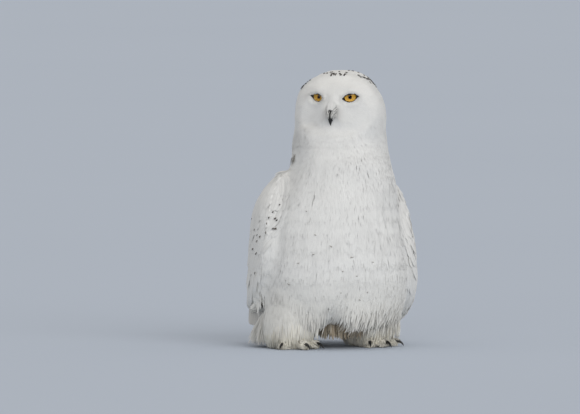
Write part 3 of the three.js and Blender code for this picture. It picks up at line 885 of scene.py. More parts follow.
# No tufts grow inside the lids, under the bill, or under the soles.
bare = np.zeros(len(hull.co), bool)
for side in EYES:
    local = in_eye(hull.co, side)
    bare |= (lid_opening(local[:, 0], local[:, 1], 1.0) > 0) & (local[:, 2] > 0)
bare |= bill_gap < 4
bare |= (height < 3.5) & (hull_normal[:, 2] < -0.5)
grown = ~share_of(bare)
forward = (hull.co - BODY_AXIS)[:, 1] < 0
face_area = is_head & (face_share > 0.4)
on_body_part = ~is_wing & ~is_leg & ~is_foot & ~is_head
hind_head = (hull.co - HEAD_AXIS) @ FACE < -0.01
tops = height > 300
COATS = {
    "coat_face_right": (face_area & (from_axis @ FACE_LEFT < 0), dict(cover=9.6, shape=FINE_TUFT)),
    "coat_face_left": (face_area & (from_axis @ FACE_LEFT >= 0), dict(cover=9.6, shape=FINE_TUFT)),
    "coat_crown": (is_head & ~face_area & ~hind_head, dict(cover=6.5, shape=FINE_TUFT)),
    "coat_nape": (is_head & ~face_area & hind_head, dict(cover=6.0, shape=FINE_TUFT, size=1.15)),
    "coat_neck_right": (on_body_part & tops & forward & (seen_across < 0), dict(cover=10.0, shape=BODY_TUFT)),
    "coat_neck_left": (on_body_part & tops & forward & (seen_across >= 0), dict(cover=8.5, shape=BODY_TUFT)),
    "coat_neck_back": (on_body_part & tops & ~forward, dict(cover=7.0, shape=BODY_TUFT)),
    "coat_breast": (on_body_part & ~tops & forward & (height > 190), dict(cover=10.5, shape=BODY_TUFT)),
    "coat_belly": (on_body_part & forward & (height <= 190), dict(cover=10.0, shape=BODY_TUFT, lift=(0.93, 1.03))),
    "coat_back": (on_body_part & ~tops & ~forward, dict(cover=6.5, shape=CONTOUR, broad=3.2, shade=0.025)),
    "coat_wings": (is_wing, dict(cover=2.5, shape=BODY_TUFT)),
    "coat_legs": (is_leg, dict(cover=13.0, shape=BODY_TUFT, lift=(0.92, 1.04))),
    "coat_feet": (is_foot, dict(cover=7.0, shape=FINE_TUFT, lift=(0.8, 1.15))),
}
for name, (mask, style) in COATS.items():
    coat = Coat()
    coat.add(tufts(share_of(mask) & grown, **style))
    coat.finish(name, down_material)


def bowed(root, tip, t, towards, by):
    """A line from root to tip that bows out between them."""
    return root + (tip - root) * t[:, None] + towards * (by * np.sin(math.pi * t))[:, None]


def vent():
    """Loose tan feathers that hang between the legs."""
    coat = Coat()
    t = np.array(BODY_TUFT["t"])
    for _ in range(VENT_FEATHERS):
        start = on_body(rng.uniform(-34, 34), rng.uniform(-52, 6), 12)
        hit, _ = cast(skin_tree, start, UP)
        if hit is None or not 0.040 <= hit[2] - FLOOR <= 0.085:
            continue
        root = hit + UP * 0.003
        end = root.copy()
        end[2] = FLOOR + rng.uniform(0.014, 0.036)
        end = end + FRONT * rng.normal(0, 0.003) + SEEN_RIGHT * rng.normal(0, 0.004)
        line = bowed(root, end, t, FRONT, 0.003)
        tone = mix(TAN, CREAM, rng.uniform(0.1, 0.55)) * rng.uniform(0.85, 1.0)
        half = rng.uniform(1.0, 1.7) * MM * np.array(BODY_TUFT["half"])
        coat.lay(line, FRONT, half, SLIM, tone, soften=0.15)
    coat.finish("coat_vent", down_material)


vent()


def in_view(across, up, back):
    """Places given as seen from the front left, and how far back they lie."""
    rise = (np.asarray(up) - np.asarray(back) * math.sin(view_rise)) / math.cos(view_rise)
    level = np.multiply.outer(across, SEEN_RIGHT) + np.multiply.outer(back, -FRONT)
    return BODY_AXIS + (level + np.multiply.outer(rise, UP)) * MM


def flare():
    """The right leg's outer feathers, which spread to the ground."""
    coat = Coat()
    t = np.array(BODY_TUFT["t"])
    for _ in range(FLANK_FEATHERS):
        share = rng.random()
        back = rng.uniform(-26, 34)
        spread = 1 - (abs(back - 4) / 34) ** 2
        root = in_view(mix(-121, -106, share), mix(74, 40, rng.random()), back)
        foot = in_view(mix(-137 - 17 * spread, -112, share) + rng.normal(0, 1.5), rng.uniform(2, 16), back * 1.05)
        foot[2] = max(foot[2], FLOOR + 0.001)
        out = unit(-SEEN_RIGHT * (1.2 - share) + FRONT * (0.4 + share))
        line = bowed(root, foot, t, out, 0.005)
        half = rng.uniform(0.9, 1.4) * MM * np.array(BODY_TUFT["half"])
        tone = mix(WHITE, CREAM, 0.3) * rng.uniform(0.97, 1.0)
        coat.lay(line, out, half, SLIM, tone, soften=0.15)
    coat.finish("coat_flank", down_material)


flare()


# ---- Wings ----
coat_tree = tree_of(hull.co + hull_normal * ((relief + proud) * MM)[:, None], hull.tris)


class WingSheet:
    """The outer face of a folded wing, as a grid from its top to its end and from its front edge to its rear."""

    ROWS, COLUMNS = 56, 29

    def __init__(self, side):
        self.side = side
        rows = wing_span(side)
        self.top, self.end = rows[0, 0], rows[-1, 0]
        self.rows = rows[::-1]
        heights = np.linspace(self.top, self.end, self.ROWS)
        grid = np.zeros((self.ROWS, self.COLUMNS, 3))
        radius = np.full((self.ROWS, self.COLUMNS), np.nan)
        turns = np.zeros((self.ROWS, self.COLUMNS))
        for i, z in enumerate(heights):
            turns[i] = np.radians(np.linspace(*wing_edges(self.rows, z), self.COLUMNS))
            for j, turn in enumerate(turns[i]):
                out = Vector((side * math.cos(turn), math.sin(turn), 0))
                hit = coat_tree.ray_cast(Vector(on_body(0, 0, z)) + out * WING_RAY, -out, WING_RAY)
                if hit[0] is not None:
                    radius[i, j] = WING_RAY - hit[3]
        known = ~np.isnan(radius)
        for j in range(self.COLUMNS):
            radius[:, j] = np.interp(np.arange(self.ROWS), np.nonzero(known[:, j])[0], radius[known[:, j], j])
        for _ in range(2):
            radius[1:-1] = (radius[:-2] + 2 * radius[1:-1] + radius[2:]) / 4
            radius[:, 1:-1] = (radius[:, :-2] + 2 * radius[:, 1:-1] + radius[:, 2:]) / 4
        grid[..., 0] = BODY_AXIS[0] + side * radius * np.cos(turns)
        grid[..., 1] = BODY_AXIS[1] + radius * np.sin(turns)
        grid[..., 2] = FLOOR + heights[:, None] * MM
        self.grid = grid
        self.length = (self.top - self.end) * MM

    def share(self, turn, z):
        """The shares down and across the wing of a place given by its turn and height."""
        front, rear = wing_edges(self.rows, z)
        return (self.top - z) / (self.top - self.end), (turn - front) / (rear - front)

    @staticmethod
    def cell(share, count):
        """The grid's row or column before a share of the way along it, and how far past that the share lies."""
        along = np.clip(share, 0, 1) * (count - 1)
        low = np.clip(np.floor(along).astype(int), 0, count - 2)
        return low, (along - low)[..., None]

    def place(self, s, c):
        """The place at shares s down the wing and c from its front edge; past its ends it runs straight on."""
        (i, f), (j, g) = self.cell(s, self.ROWS), self.cell(c, self.COLUMNS)
        upper = mix(self.grid[i, j], self.grid[i, j + 1], g)
        lower = mix(self.grid[i + 1, j], self.grid[i + 1, j + 1], g)
        beyond = (np.maximum(s - 1, 0) + np.minimum(s, 0))[..., None] * self.length
        return mix(upper, lower, f) + beyond * np.array([-0.1 * self.side, 0.42, -0.9])

    def normal(self, s, c):
        e = 0.025
        down = self.place(s + e, c) - self.place(s - e, c)
        back = self.place(s, np.clip(c + e, 0, 1)) - self.place(s, np.clip(c - e, 0, 1))
        return self.side * unit(np.cross(down, back))

    def spot(self, s, c):
        """One place on the wing, and the normal there."""
        s, c = np.array([s]), np.array([c])
        return self.place(s, c)[0], self.normal(s, c)[0]


VANE_T = np.array([0.0, 0.12, 0.3, 0.48, 0.64, 0.78, 0.89, 0.96, 1.0])
VANE_HALF = np.array([0.45, 0.8, 0.97, 1.0, 0.98, 0.88, 0.66, 0.38, 0.0])


# Unless a tone is given, a vane is a little greyer than the coat's white: painted shade on the folded wings.
def wing_vanes(sheet, root, columns, reach, half, lift=1.0, drift=0.0, jitter=0.1, tone=WHITE * 0.95, shade=0.035):
    """Vanes on a wing: root is their roots' share down it, and reach, half and lift are in millimetres."""
    columns = np.asarray(columns, float)
    n = len(columns)
    root, reach, half, lift = (np.broadcast_to(np.asarray(v, float), n) for v in (root, reach, half, lift))
    root = root + rng.normal(0, jitter * 0.05, n)
    reach = reach * rng.uniform(1 - jitter, 1 + jitter, n)
    half = half * rng.uniform(0.92, 1.08, n) * MM
    s = root[:, None] + reach[:, None] * MM / sheet.length * VANE_T[None]
    c = columns[:, None] + (drift + rng.normal(0, 0.015, n))[:, None] * VANE_T[None]
    up = sheet.normal(s, c)
    rise = np.interp(VANE_T, [0, 0.3], [-2.4, 0.0])[None] + lift[:, None] * (VANE_T**1.5)[None]
    centre = sheet.place(s, c) + up * (rise * MM)[..., None]
    side = unit(np.cross(np.gradient(centre, axis=1), up))
    up = unit(up + side * rng.normal(0, 0.05, (n, 1, 1)))
    tint = np.tile(tone, (n, len(VANE_T), 1)) * rng.uniform(1 - shade, 1, (n, 1, 1))
    return blades(centre, up, half[:, None] * VANE_HALF[None], BROAD, tint, uv_near(centre[:, 0]), VANE_PATCH, 0.3)


def spaced(low, high, count):
    return np.linspace(low, high, count) + rng.normal(0, 0.2 / count, count)


SCAPULAR_LINE = ([0.06, 0.11, 0.45, 1.0], [0.0, 0.0, 0.36, 0.40])  # the shares down and across of their front border


def wing_coat(name, side):
    """The flight feathers first, then each row of coverts over the roots of the row below it, then the scapulars."""
    sheet = WingSheet(side)
    coat = Coat()

    def row(root, columns, reach, half, **style):
        coat.add(wing_vanes(sheet, root, columns, reach, half, **style))

    row(0.50, spaced(0.03, 0.97, 17), 128, 9.5, lift=0.3, tone=mix(WHITE, BEIGE_AND_SHADE, 0.25))
    row(0.76, spaced(0.0, 0.6, 10), 56, 7.5, lift=0.6, tone=mix(WHITE, BEIGE_AND_SHADE, 0.3))
    row(0.46, spaced(0.2, 0.98, 13), 118, 10, lift=0.8, tone=mix(WHITE, BEIGE_AND_SHADE, 0.12))
    for k in range(4):
        row(0.68 - 0.055 * k, spaced(0.02, 0.5, 9), 44, 7, lift=0.9)
    for k in range(9):
        row(0.445 - 0.055 * k, spaced(0.01, 0.72, 14), 31 - k, 6.3 - 0.15 * k, lift=1.2)
    for k in range(10):
        root = 0.60 - 0.063 * k
        reach = np.interp(k, [0, 9], [78, 36])
        edge = np.interp(root + reach * MM / sheet.length, *SCAPULAR_LINE)
        row(root, spaced(edge, 1.0, 9), reach, 10.5, lift=1.8, drift=-0.02, shade=0.03)
    for z, turn, out in EDGE_TIPS[side]:
        s, c = sheet.share(turn, z)
        row(s - 46 * MM / sheet.length, [c], 46, 6.5, lift=out, jitter=0.0)
    if side < 0:
        for k, (root, tip, end) in enumerate(WING_END):
            t = VANE_T
            line = in_view(mix(root, tip, t), mix(92 - 2 * k, end, t), np.full(len(t), 40.0 - 1.2 * k))
            out = unit(FRONT - 0.5 * SEEN_RIGHT)
            half = 5.6 * MM * np.array([0.6, 0.85, 1, 1, 1, 1, 0.95, 0.7, 0.0])
            # their grey is painted shade, darkest on the first of them
            coat.lay(line, out, half, BROAD, mix(WHITE, GREY_MARK_AND_SHADE, 0.5 - 0.05 * k), patch=VANE_PATCH)
    coat.finish("wing_feathers_" + name, vane_material)
    return sheet


# The right wing's last feathers as seen: across at the root and the tip, and the height of the tip.
WING_END = [(-147, -149, 40), (-143, -145, 38.5), (-139, -141.5, 38), (-134, -137, 42), (-129, -133, 48)]
# Feathers whose tips break the wings' outline: height, turn round the body, and how far the tip stands out.
EDGE_TIPS = {
    -1: [(108, 24, 5.0), (112, 31, 4.0), (78, 30, 5.0), (146, 26, 3.0)],
    1: [(196, -28, 3.5), (170, -27, 4.0), (146, -28, 4.0), (122, -26, 4.0), (96, -26, 4.5), (68, -24, 4.0),
        (46, -20, 3.0)],
}
sheets = {side: wing_coat(name, side) for name, side in SIDES}


# ---- Primaries beyond the wings, and the tail ----
PRIMARIES = [(42, 143, 116), (51, 149, 88), (61, 168, 60), (72, 200, 36)]  # angle, radius, height
PRIMARIES_TURN = {-1: (0.0, 0.0), 1: (5.6, 14.0)}  # the left wing's are turned forward and let down


def through(points, t):
    """A smooth line through points, at shares t of it."""
    points = np.asarray(points, float)
    known = np.linspace(0, 1, len(points))
    return np.stack([np.polyval(np.polyfit(known, points[:, k], len(points) - 1), t) for k in range(3)], axis=-1)


def primaries(name, side):
    turned, lowered = PRIMARIES_TURN[side]
    line = []
    for angle, radius, z in PRIMARIES:
        a = math.radians(angle - turned)
        line.append(on_body(side * radius * math.cos(a), radius * math.sin(a), z - lowered))
    flat = unit(np.array([side * 0.5, 0.6, 0.7]))
    coat = Coat()
    count = 7
    for k in range(count):
        t = np.linspace(0.0, 1.0 - 0.075 * k, len(VANE_T))
        centre = through(line, t)
        down = unit(np.cross(np.gradient(centre, axis=0), flat))
        down = np.where(down[:, 2:] > 0, -down, down)
        spread = (9 + 15 * np.sin(math.pi * t**0.9)) * 0.72 * MM
        place = 0.75 - 1.5 * k / (count - 1)
        centre = centre + down * (place * spread)[:, None] + flat * (0.7 * k - 2.0) * MM
        # over a beige tone, the lower primaries are greyer: painted shade under the ones above
        coat.lay(centre, flat, 6.8 * MM * VANE_HALF, BROAD, mix(WHITE, BEIGE_AND_SHADE, 0.9 - 0.1 * k), patch=VANE_PATCH)
    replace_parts(coat.finish("primary_feathers_" + name, vane_material), "primaries_" + name)


for name, side in SIDES:
    primaries(name, side)

# The tail's middle line (how far back, height), its half widths at root and tip, and the fall to its sides.
TAIL_LINE = [(92, 136), (148, 84), (190, 38), (228, 1.5)]
TAIL_ROOT, TAIL_TIP, TAIL_CAMBER = 38, 62, 9
TAIL_T = np.array([0.0, 0.2, 0.4, 0.6, 0.76, 0.87, 0.94, 0.98, 1.0])
TAIL_HALF = np.array([0.8, 0.92, 1.0, 1.0, 0.96, 0.84, 0.66, 0.40, 0.0])


def tail():
    """Twelve feathers, the middle pair on top, each a little shorter and lower than the one inside it."""
    coat = Coat()
    for rank, f in enumerate(sorted(np.linspace(-1, 1, 12), key=abs, reverse=True)):
        t = TAIL_T * (1.0 - 0.13 * f * f - 0.015 * rng.random())
        line = through([(0, y, z) for y, z in TAIL_LINE], t)
        spread = np.interp(t, [0, 0.8, 1], [TAIL_ROOT, TAIL_TIP, TAIL_TIP])
        z = line[:, 2] - TAIL_CAMBER * f * f + 0.75 * rank - 3
        z = np.maximum(z, 0.9 + 0.45 * rank)
        centre = on_body(0, 0, 0) + np.stack([f * spread * 0.8, line[:, 1], z], axis=1) * MM
        up = unit(np.tile(np.array([0.22 * f, 0.75, 0.66]), (len(t), 1)))
        tone = mix(WHITE, BEIGE_AND_SHADE, 0.3 * rng.random()) * np.interp(TAIL_T, [0, 1], [0.9, 1.0])[:, None]
        coat.lay(centre, up, 10.5 * MM * TAIL_HALF, BROAD, tone, patch=VANE_PATCH)
    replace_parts(coat.finish("tail_feathers", vane_material), "tail")


tail()


# ---- Dark flecks ----
# Places as seen from the front left: across and up from the body's foot, then the fleck's half width and length.
CROWN_FLECKS = [
    (-16, 495, 1.7, 5), (-11, 495, 1.6, 4), (-3, 497, 2.4, 5), (-1, 494, 2.2, 5), (3, 493, 2.6, 6), (-4, 491, 1.6, 4),
    (11, 498, 1.6, 4), (14, 492, 1.5, 4), (12, 494, 1.4, 4), (24, 496, 2.2, 6), (22, 493, 1.5, 5), (20, 491, 1.2, 4),
    (29, 500, 1.6, 5), (36, 499, 2.4, 5), (46, 497, 1.4, 5), (46, 491, 1.8, 5), (50, 488, 1.6, 5), (56, 491, 1.5, 5),
    (56, 487, 2.4, 6), (60, 485, 2.8, 6), (64, 484, 3.0, 6), (68, 482, 2.8, 6), (72, 481, 2.4, 6), (67, 478, 1.4, 4),
    (75, 479, 2.2, 6), (78, 475, 1.5, 5), (71, 487, 1.5, 5), (80, 471, 1.2, 5),
    (-66, 475, 2.2, 6), (-64, 478, 2.4, 6), (-61, 481, 2.0, 6), (-56, 483, 1.4, 6), (-51, 484, 1.3, 5),
    (-46, 487, 1.4, 5),
]
WING_FLECKS = [
    (-94, 257, 1.6, 5), (-108, 244, 1.6, 6), (-117, 233, 1.8, 7), (-121, 223, 1.8, 6), (-103, 232, 2.4, 6),
    (-99, 229, 2.4, 5), (-108, 214, 2.6, 5), (-103, 214, 2.8, 6), (-123, 207, 1.5, 6), (-141, 212, 1.7, 7),
    (-150, 232, 1.3, 6), (-136, 203, 1.5, 6), (-131, 199, 1.6, 7), (-137, 191, 1.7, 8), (-144, 177, 1.7, 8),
    (-138, 169, 1.6, 8), (-140, 134, 1.6, 8), (-136, 134, 1.5, 8), (-147, 129, 1.4, 7), (-137, 105, 1.4, 6),
]
# grey patches and a dark stripe at the shoulder, by the neck's edge: across, up, half width, length and colour
SHOULDER_PATCHES = [(-77, 336, 4.5, 20, GREY_MARK_AND_SHADE), (-71, 340, 4.0, 18, GREY_MARK_AND_SHADE), (-72, 335, 0.9, 15, BROWN)]
BELLY_BARS = [
    (-49, 246, 1.5), (-33, 203, 2.0), (-5, 183, 3.0), (-36, 168, 2.5), (-63, 152, 2.5), (33, 163, 3.5), (71, 154, 3.0),
    (42, 129, 2.5), (16, 138, 2.0), (-81, 115, 3.0), (61, 100, 2.5), (47, 87, 2.5), (58, 80, 2.0), (103, 80, 3.0),
    (14, 99, 1.5), (72, 59, 2.0), (81, 51, 2.5), (-65, 36, 2.5), (-62, 32, 3.0), (51, 29, 2.0),
]


def seen_at(across, up):
    """The place on the coat at a place seen from the front left, or just inside its edge, and its normal."""
    for inward in np.linspace(0, 0.2, 21):
        place = SEEN_RIGHT * mix(across, 0, inward) + SEEN_UP * mix(up, min(up, SEEN_INWARD_UP), inward)
        found, normal = cast(coat_tree, BODY_AXIS + place * MM + SEEN_BACK, -SEEN_BACK)
        if found is not None:
            return found, normal
    raise ValueError("nothing is seen there")


marks = []  # place, half width in metres and colour of each fleck, for the skin


def fleck(place, normal, half, reach, colour, high, along=None):
    """One dark feather end of a few slim tufts, their tips high millimetres above the hull."""
    _, _, index, _ = coat_tree.find_nearest(place.tolist())
    lie = flow[hull.tris[index]].mean(0) if along is None else along
    lie = tangent(lie[None], normal[None])[0]
    marks.append((place, half * MM, colour))
    t = np.array([0.0, 0.3, 0.6, 0.85, 1.0])
    count = int(np.clip(round(half * 1.6), 2, 5))
    lines, ups, halves, tints = [], [], [], []
    for k in range(count):
        turn = rng.normal(0, 0.3)
        lie_k = unit(lie + turn * np.cross(normal, lie))
        offset = (k - (count - 1) / 2) * 2 * half / count + rng.normal(0, 0.25)
        reach_k = reach * rng.uniform(0.7, 1.15)
        back = place + np.cross(normal, lie) * offset * MM - lie_k * (reach_k * 0.5 + rng.normal(0, 0.5)) * MM
        rise = np.interp(t, [0, 0.3, 1], [high - 1.4, high, high]) + rng.normal(0, 0.12)
        lines.append(back + lie_k * (reach_k * MM * t)[:, None] + normal * (rise * MM)[:, None])
        ups.append(np.tile(normal, (len(t), 1)))
        halves.append(half / count * rng.uniform(1.1, 1.8) * MM * np.array(BODY_TUFT["half"]))
        tints.append(np.tile(mix(colour, GREY_MARK_AND_SHADE, 0.25 * rng.random()), (len(t), 1)))
    root_uv = np.repeat(uv_near(lines[0][:1]), count, axis=0)
    return blades(np.array(lines), np.array(ups), np.array(halves), SLIM, np.array(tints), root_uv, soften=0.3)


def mark_skin():
    """Darkens the skin under each fleck, so that skin and coat carry the same markings."""
    tint = coat_colour(skin.co)
    for place, half, colour in marks:
        gap = np.linalg.norm(skin.co - place, axis=1)
        share = 0.7 * smooth(half + 0.008, half + 0.003, gap)[:, None]
        tint = mix(tint, colour, share)
    paint(skin_piece.data.color_attributes["tint"], tint)


def flecks():
    coat = Coat()
    for across, up, half, reach in CROWN_FLECKS:
        coat.add(fleck(*seen_at(across, up), half, reach, mix(SOOT, BROWN, 0.3 * rng.random()), 0.6))
    for across, up, half, reach in WING_FLECKS:
        place, normal = seen_at(across, up)
        turn, z = round_body(place[None], -1)
        s, c = sheets[-1].share(turn[0], z[0])
        for side in (-1, 1) if c > 0.45 else (-1,):
            colour = mix(SOOT, BROWN, rng.random())
            coat.add(fleck(*sheets[side].spot(s, c), 0.62 * half, 0.75 * reach, colour, 2.6))
    for across, up, half in BELLY_BARS:
        place, normal = seen_at(across, up)
        sideways = np.cross(normal, UP)
        coat.add(fleck(place, normal, 0.7, half * 2, GREY_MARK_AND_SHADE, 1.0, sideways + 0.25 * UP))
    for across, up, half, reach, colour in SHOULDER_PATCHES:
        coat.add(fleck(*seen_at(across, up), half, reach, colour, 1.2))
    # a few on the hind crown and the scapulars, which the front doesn't show
    for turn, up in zip(rng.uniform(100, 260, 34), rng.uniform(462, 498, 34)):
        out = FACE * math.cos(math.radians(turn)) + FACE_LEFT * math.sin(math.radians(turn))
        start = HEAD_AXIS * np.array([1, 1, 0]) + UP * (FLOOR + up * MM) + out * 0.3
        place, normal = cast(coat_tree, start, -out)
        if place is not None:
            coat.add(fleck(place, normal, rng.uniform(1.2, 2.2), 5, SOOT, 0.9))
    for side in (-1, 1):
        for s, c in zip(rng.uniform(0.1, 0.9, 16), rng.uniform(0.5, 0.95, 16)):
            half, colour = rng.uniform(1.2, 2.0), mix(SOOT, BROWN, rng.random())
            coat.add(fleck(*sheets[side].spot(s, c), half, 6, colour, 3.6))
    coat.finish("dark_flecks", fleck_material)


flecks()
mark_skin()


# ---- Eyes ----
def turned(profile, side, segments=64):
    """A closed form turned about an eye's axis: profile is (radius, forward), both ends on the axis."""
    across, up, out = eye_frame(side)
    rings = profile[1:-1]
    angle = np.linspace(0, 2 * math.pi, segments, endpoint=False)
    co = [EYES[side] + MM * (r * (math.cos(a) * across + math.sin(a) * up) + w * out) for r, w in rings for a in angle]
    co += [EYES[side] + MM * profile[0][1] * out, EYES[side] + MM * profile[-1][1] * out]
    tris = []
    first, last = len(co) - 2, len(co) - 1
    for k in range(segments):
        n = (k + 1) % segments
        tris.append((first, n, k))
        end = (len(rings) - 1) * segments
        tris.append((last, end + k, end + n))
        for r in range(len(rings) - 1):
            a, b = r * segments + k, r * segments + n
            tris += [(a, b, b + segments), (a, b + segments, a + segments)]
    co = np.array(co)
    return co, outward(co, np.array(tris), EYES[side])


IRIS_RADIUS, IRIS_PLANE = 12.4, 11.6


def eye_material():
    made, tree, shader = material("iris", Roughness=0.5, Specular_IOR_Level=0.12)
    polar = tree.nodes.new("ShaderNodeUVMap")
    polar.uv_map = "Polar"
    split = tree.nodes.new("ShaderNodeSeparateXYZ")
    tree.links.new(polar.outputs["UV"], split.inputs[0])
    ramp = tree.nodes.new("ShaderNodeValToRGB")
    stops = [(0.0, (0.002, 0.002, 0.002)), (0.20, (0.002, 0.002, 0.002)), (0.225, (0.30, 0.12, 0.008)),
             (0.34, (0.82, 0.44, 0.045)), (0.70, (0.88, 0.50, 0.06)), (0.9, (0.68, 0.34, 0.025)),
             (0.975, (0.30, 0.12, 0.008)), (1.0, (0.006, 0.005, 0.005))]
    for k, (place, colour) in enumerate(stops):
        stop = ramp.color_ramp.elements[k] if k < 2 else ramp.color_ramp.elements.new(place)
        stop.position = place
        stop.color = (*colour, 1)
    tree.links.new(split.outputs["Y"], ramp.inputs["Fac"])
    fibre = noise_node(tree, stretched(tree, polar.outputs["UV"], (60.0, 1.6, 1.0)), 1.0, 4.0)
    lit = scaled(tree, ramp.outputs["Color"], remapped(tree, fibre, 0.35, 0.65, 0.78, 1.1))
    tree.links.new(lit, shader.inputs["Base Color"])
    return made


iris_material = eye_material()
cornea_material, _, _ = material("cornea", Base_Color=(1, 1, 1, 1), Roughness=0.03, IOR=1.22, Transmission_Weight=1.0,
                                 Specular_IOR_Level=0.2)


def eye(name, side):
    back = [(GLOBE * math.sin(a), -GLOBE * math.cos(a)) for a in np.linspace(0, 2.33, 22)]
    steps = (1.0, 0.97, 0.93, 0.85, 0.7, 0.5, 0.36, 0.28, 0.24, 0.21)
    iris = [(IRIS_RADIUS * r, IRIS_PLANE - 0.5 * (1 - r) ** 2) for r in steps]
    iris += [(IRIS_RADIUS * r, IRIS_PLANE - deep) for r, deep in ((0.205, 1.4), (0.2, 3.0), (0.1, 3.4), (0, 3.5))]
    co, tris = turned(back + iris, side)
    local = in_eye(co, side)
    r = np.hypot(local[:, 0], local[:, 1]) / IRIS_RADIUS
    r = np.where((local[:, 2] < IRIS_PLANE - 0.8) & (r > 0.25), 1.0, r)
    polar = np.stack([np.arctan2(local[:, 1], local[:, 0]) / (2 * math.pi), np.clip(r, 0, 1)], axis=1)
    globe = piece("eyeball_" + name, co, tris, iris_material, maps={"Polar": polar})
    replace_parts(globe, "eye_" + name)
    middle = BULGE - CORNEA
    end = math.acos((IRIS_PLANE + 0.1 - middle) / CORNEA)
    dome = [(CORNEA * math.sin(a), middle + CORNEA * math.cos(a)) for a in np.linspace(end, 0, 18)]
    co, tris = turned([(0, IRIS_PLANE + 0.1), (6, IRIS_PLANE + 0.1)] + dome, side)
    piece("cornea_" + name, co, tris, cornea_material)


for name, side in SIDES:
    eye(name, side)


# ---- Lids ----
def lid_material():
    made, tree, shader = material("lid", Roughness=0.5, Specular_IOR_Level=0.4)
    grain = noise_node(tree, place_of(tree), 1500.0, 3.0)
    tree.links.new(grain, two_tones(tree, shader, (0.006, 0.006, 0.006), (0.018, 0.016, 0.015)))
    relief_from(tree, shader, grain, 0.3, 0.0003)
    return made


lids = lid_material()


def lid_line(angle, grow):
    """A place on the lids' outline, grown by grow millimetres, in the eye's own frame."""
    x0, x1 = LID["nasal"][0], LID["temporal"][0]
    s = math.cos(angle)
    y = lid_edges(s)[0 if math.sin(angle) >= 0 else 1]
    x = (x0 + x1) / 2 + s * (x1 - x0) / 2
    r = math.hypot(x, y)
    return x * (1 + grow / r), y * (1 + grow / r)


def on_eye(x, y):
    """How far forward the globe or the cornea reaches at a place in the eye's own frame."""
    r = math.hypot(x, y)
    middle = BULGE - CORNEA
    cornea = middle + math.sqrt(max(CORNEA**2 - r * r, 0))
    return max(math.sqrt(max(GLOBE**2 - r * r, 1)), cornea if r < CORNEA else 0)


def lid(name, side, steps=120):
    """The black rim: close on the eye above and below, and out to the face's skin at its two corners."""
    across, up, out = eye_frame(side)
    rows = [("in", -1.6), ("in", 0.15), (0.0, 0.75), (0.7, 1.0), (1.4, 0.7), (2.0, -0.6), (2.2, -3.5), ("in", -4.0)]
    around = []
    for k in range(steps):
        angle = 2 * math.pi * k / steps
        x, y = lid_line(angle, 4.5)
        start = EYES[side] + MM * (x * across + y * up + 40 * out)
        place, _ = cast(skin_tree, start, -out)
        around.append(in_eye(place[None], side)[0, 2])
    around = np.array(around)
    for _ in range(6):
        around = (np.roll(around, 1) + 2 * around + np.roll(around, -1)) / 4
    co = []
    for grow, high in rows:
        for k in range(steps):
            angle = 2 * math.pi * k / steps
            corner = abs(math.cos(angle))
            inner = -(0.35 + 0.9 * max(math.sin(angle), 0) + 3.2 * corner**8)
            x, y = lid_line(angle, inner if grow == "in" else grow)
            flat = around[k] + 0.8 + (high - 1.0)
            z = mix(on_eye(x, y) + high, max(flat, on_eye(x, y) + high), corner**4)
            co.append(EYES[side] + MM * (x * across + y * up + z * out))
    quads = []
    for r in range(len(rows)):
        for k in range(steps):
            n = (k + 1) % steps
            low, high = r * steps, ((r + 1) % len(rows)) * steps
            quads.append((low + k, low + n, high + n, high + k))
    co, quads = np.array(co), np.array(quads)
    if side < 0:
        quads = quads[:, ::-1]
    return piece("lid_" + name, co, quads, lids)


for name, side in SIDES:
    lid(name, side)


# ---- Bill ----
def horn_material():
    made, tree, shader = material("horn", Roughness=0.38, Specular_IOR_Level=0.4, Coat_Weight=0.15, Coat_Roughness=0.25)
    grain = noise_node(tree, stretched(tree, place_of(tree), (1.0, 1.0, 0.25)), 300.0, 4.0)
    tree.links.new(grain, two_tones(tree, shader, (0.004, 0.004, 0.004), (0.016, 0.015, 0.015)))
    relief_from(tree, shader, grain, 0.25, 0.0003)
    return made


horn = horn_material()


def tube(line, halves, name, sides=24):
    """A tapering closed bar in the head's middle plane: halves gives its half width and half depth."""
    stations = len(line)
    along = unit(np.gradient(line, axis=0))
    lift = unit(np.cross(np.tile(FACE_LEFT, (stations, 1)), along))
    lift = np.where(lift @ (FACE + UP)[:, None] < 0, -lift, lift)
    angle = np.linspace(0, 2 * math.pi, sides, endpoint=False)
    ring = line[:, None] + FACE_LEFT * (np.cos(angle)[None, :, None] * halves[:, 0, None, None]) \
        + lift[:, None] * (np.sin(angle)[None, :, None] * halves[:, 1, None, None])
    co = np.concatenate([ring[:-1].reshape(-1, 3), line[-1:]])
    return piece(name, co, outward(co, tube_faces(stations - 1, sides), line[0]), horn)


def bill():
    t = np.linspace(0, 1, 26)
    upper = through([on_head(0, 52, 435), on_head(0, 69, 434), on_head(0, 80, 423), on_head(0, 78.5, 405.5)], t)
    halves = np.stack([6.6 * (1 - t**3.6) + 0.3, 6.6 * (1 - t**1.8) + 0.3], axis=1) * MM
    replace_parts(tube(upper, halves, "bill_upper_horn"), "bill_upper")
    t = np.linspace(0, 1, 16)
    lower = through([on_head(0, 56, 421), on_head(0, 68, 418), on_head(0, 74.5, 412)], t)
    halves = np.stack([6.4 * (1 - t**2) + 0.3, 4.2 * (1 - t**2) + 0.3], axis=1) * MM
    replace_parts(tube(lower, halves, "bill_lower_horn"), "bill_lower")


bill()


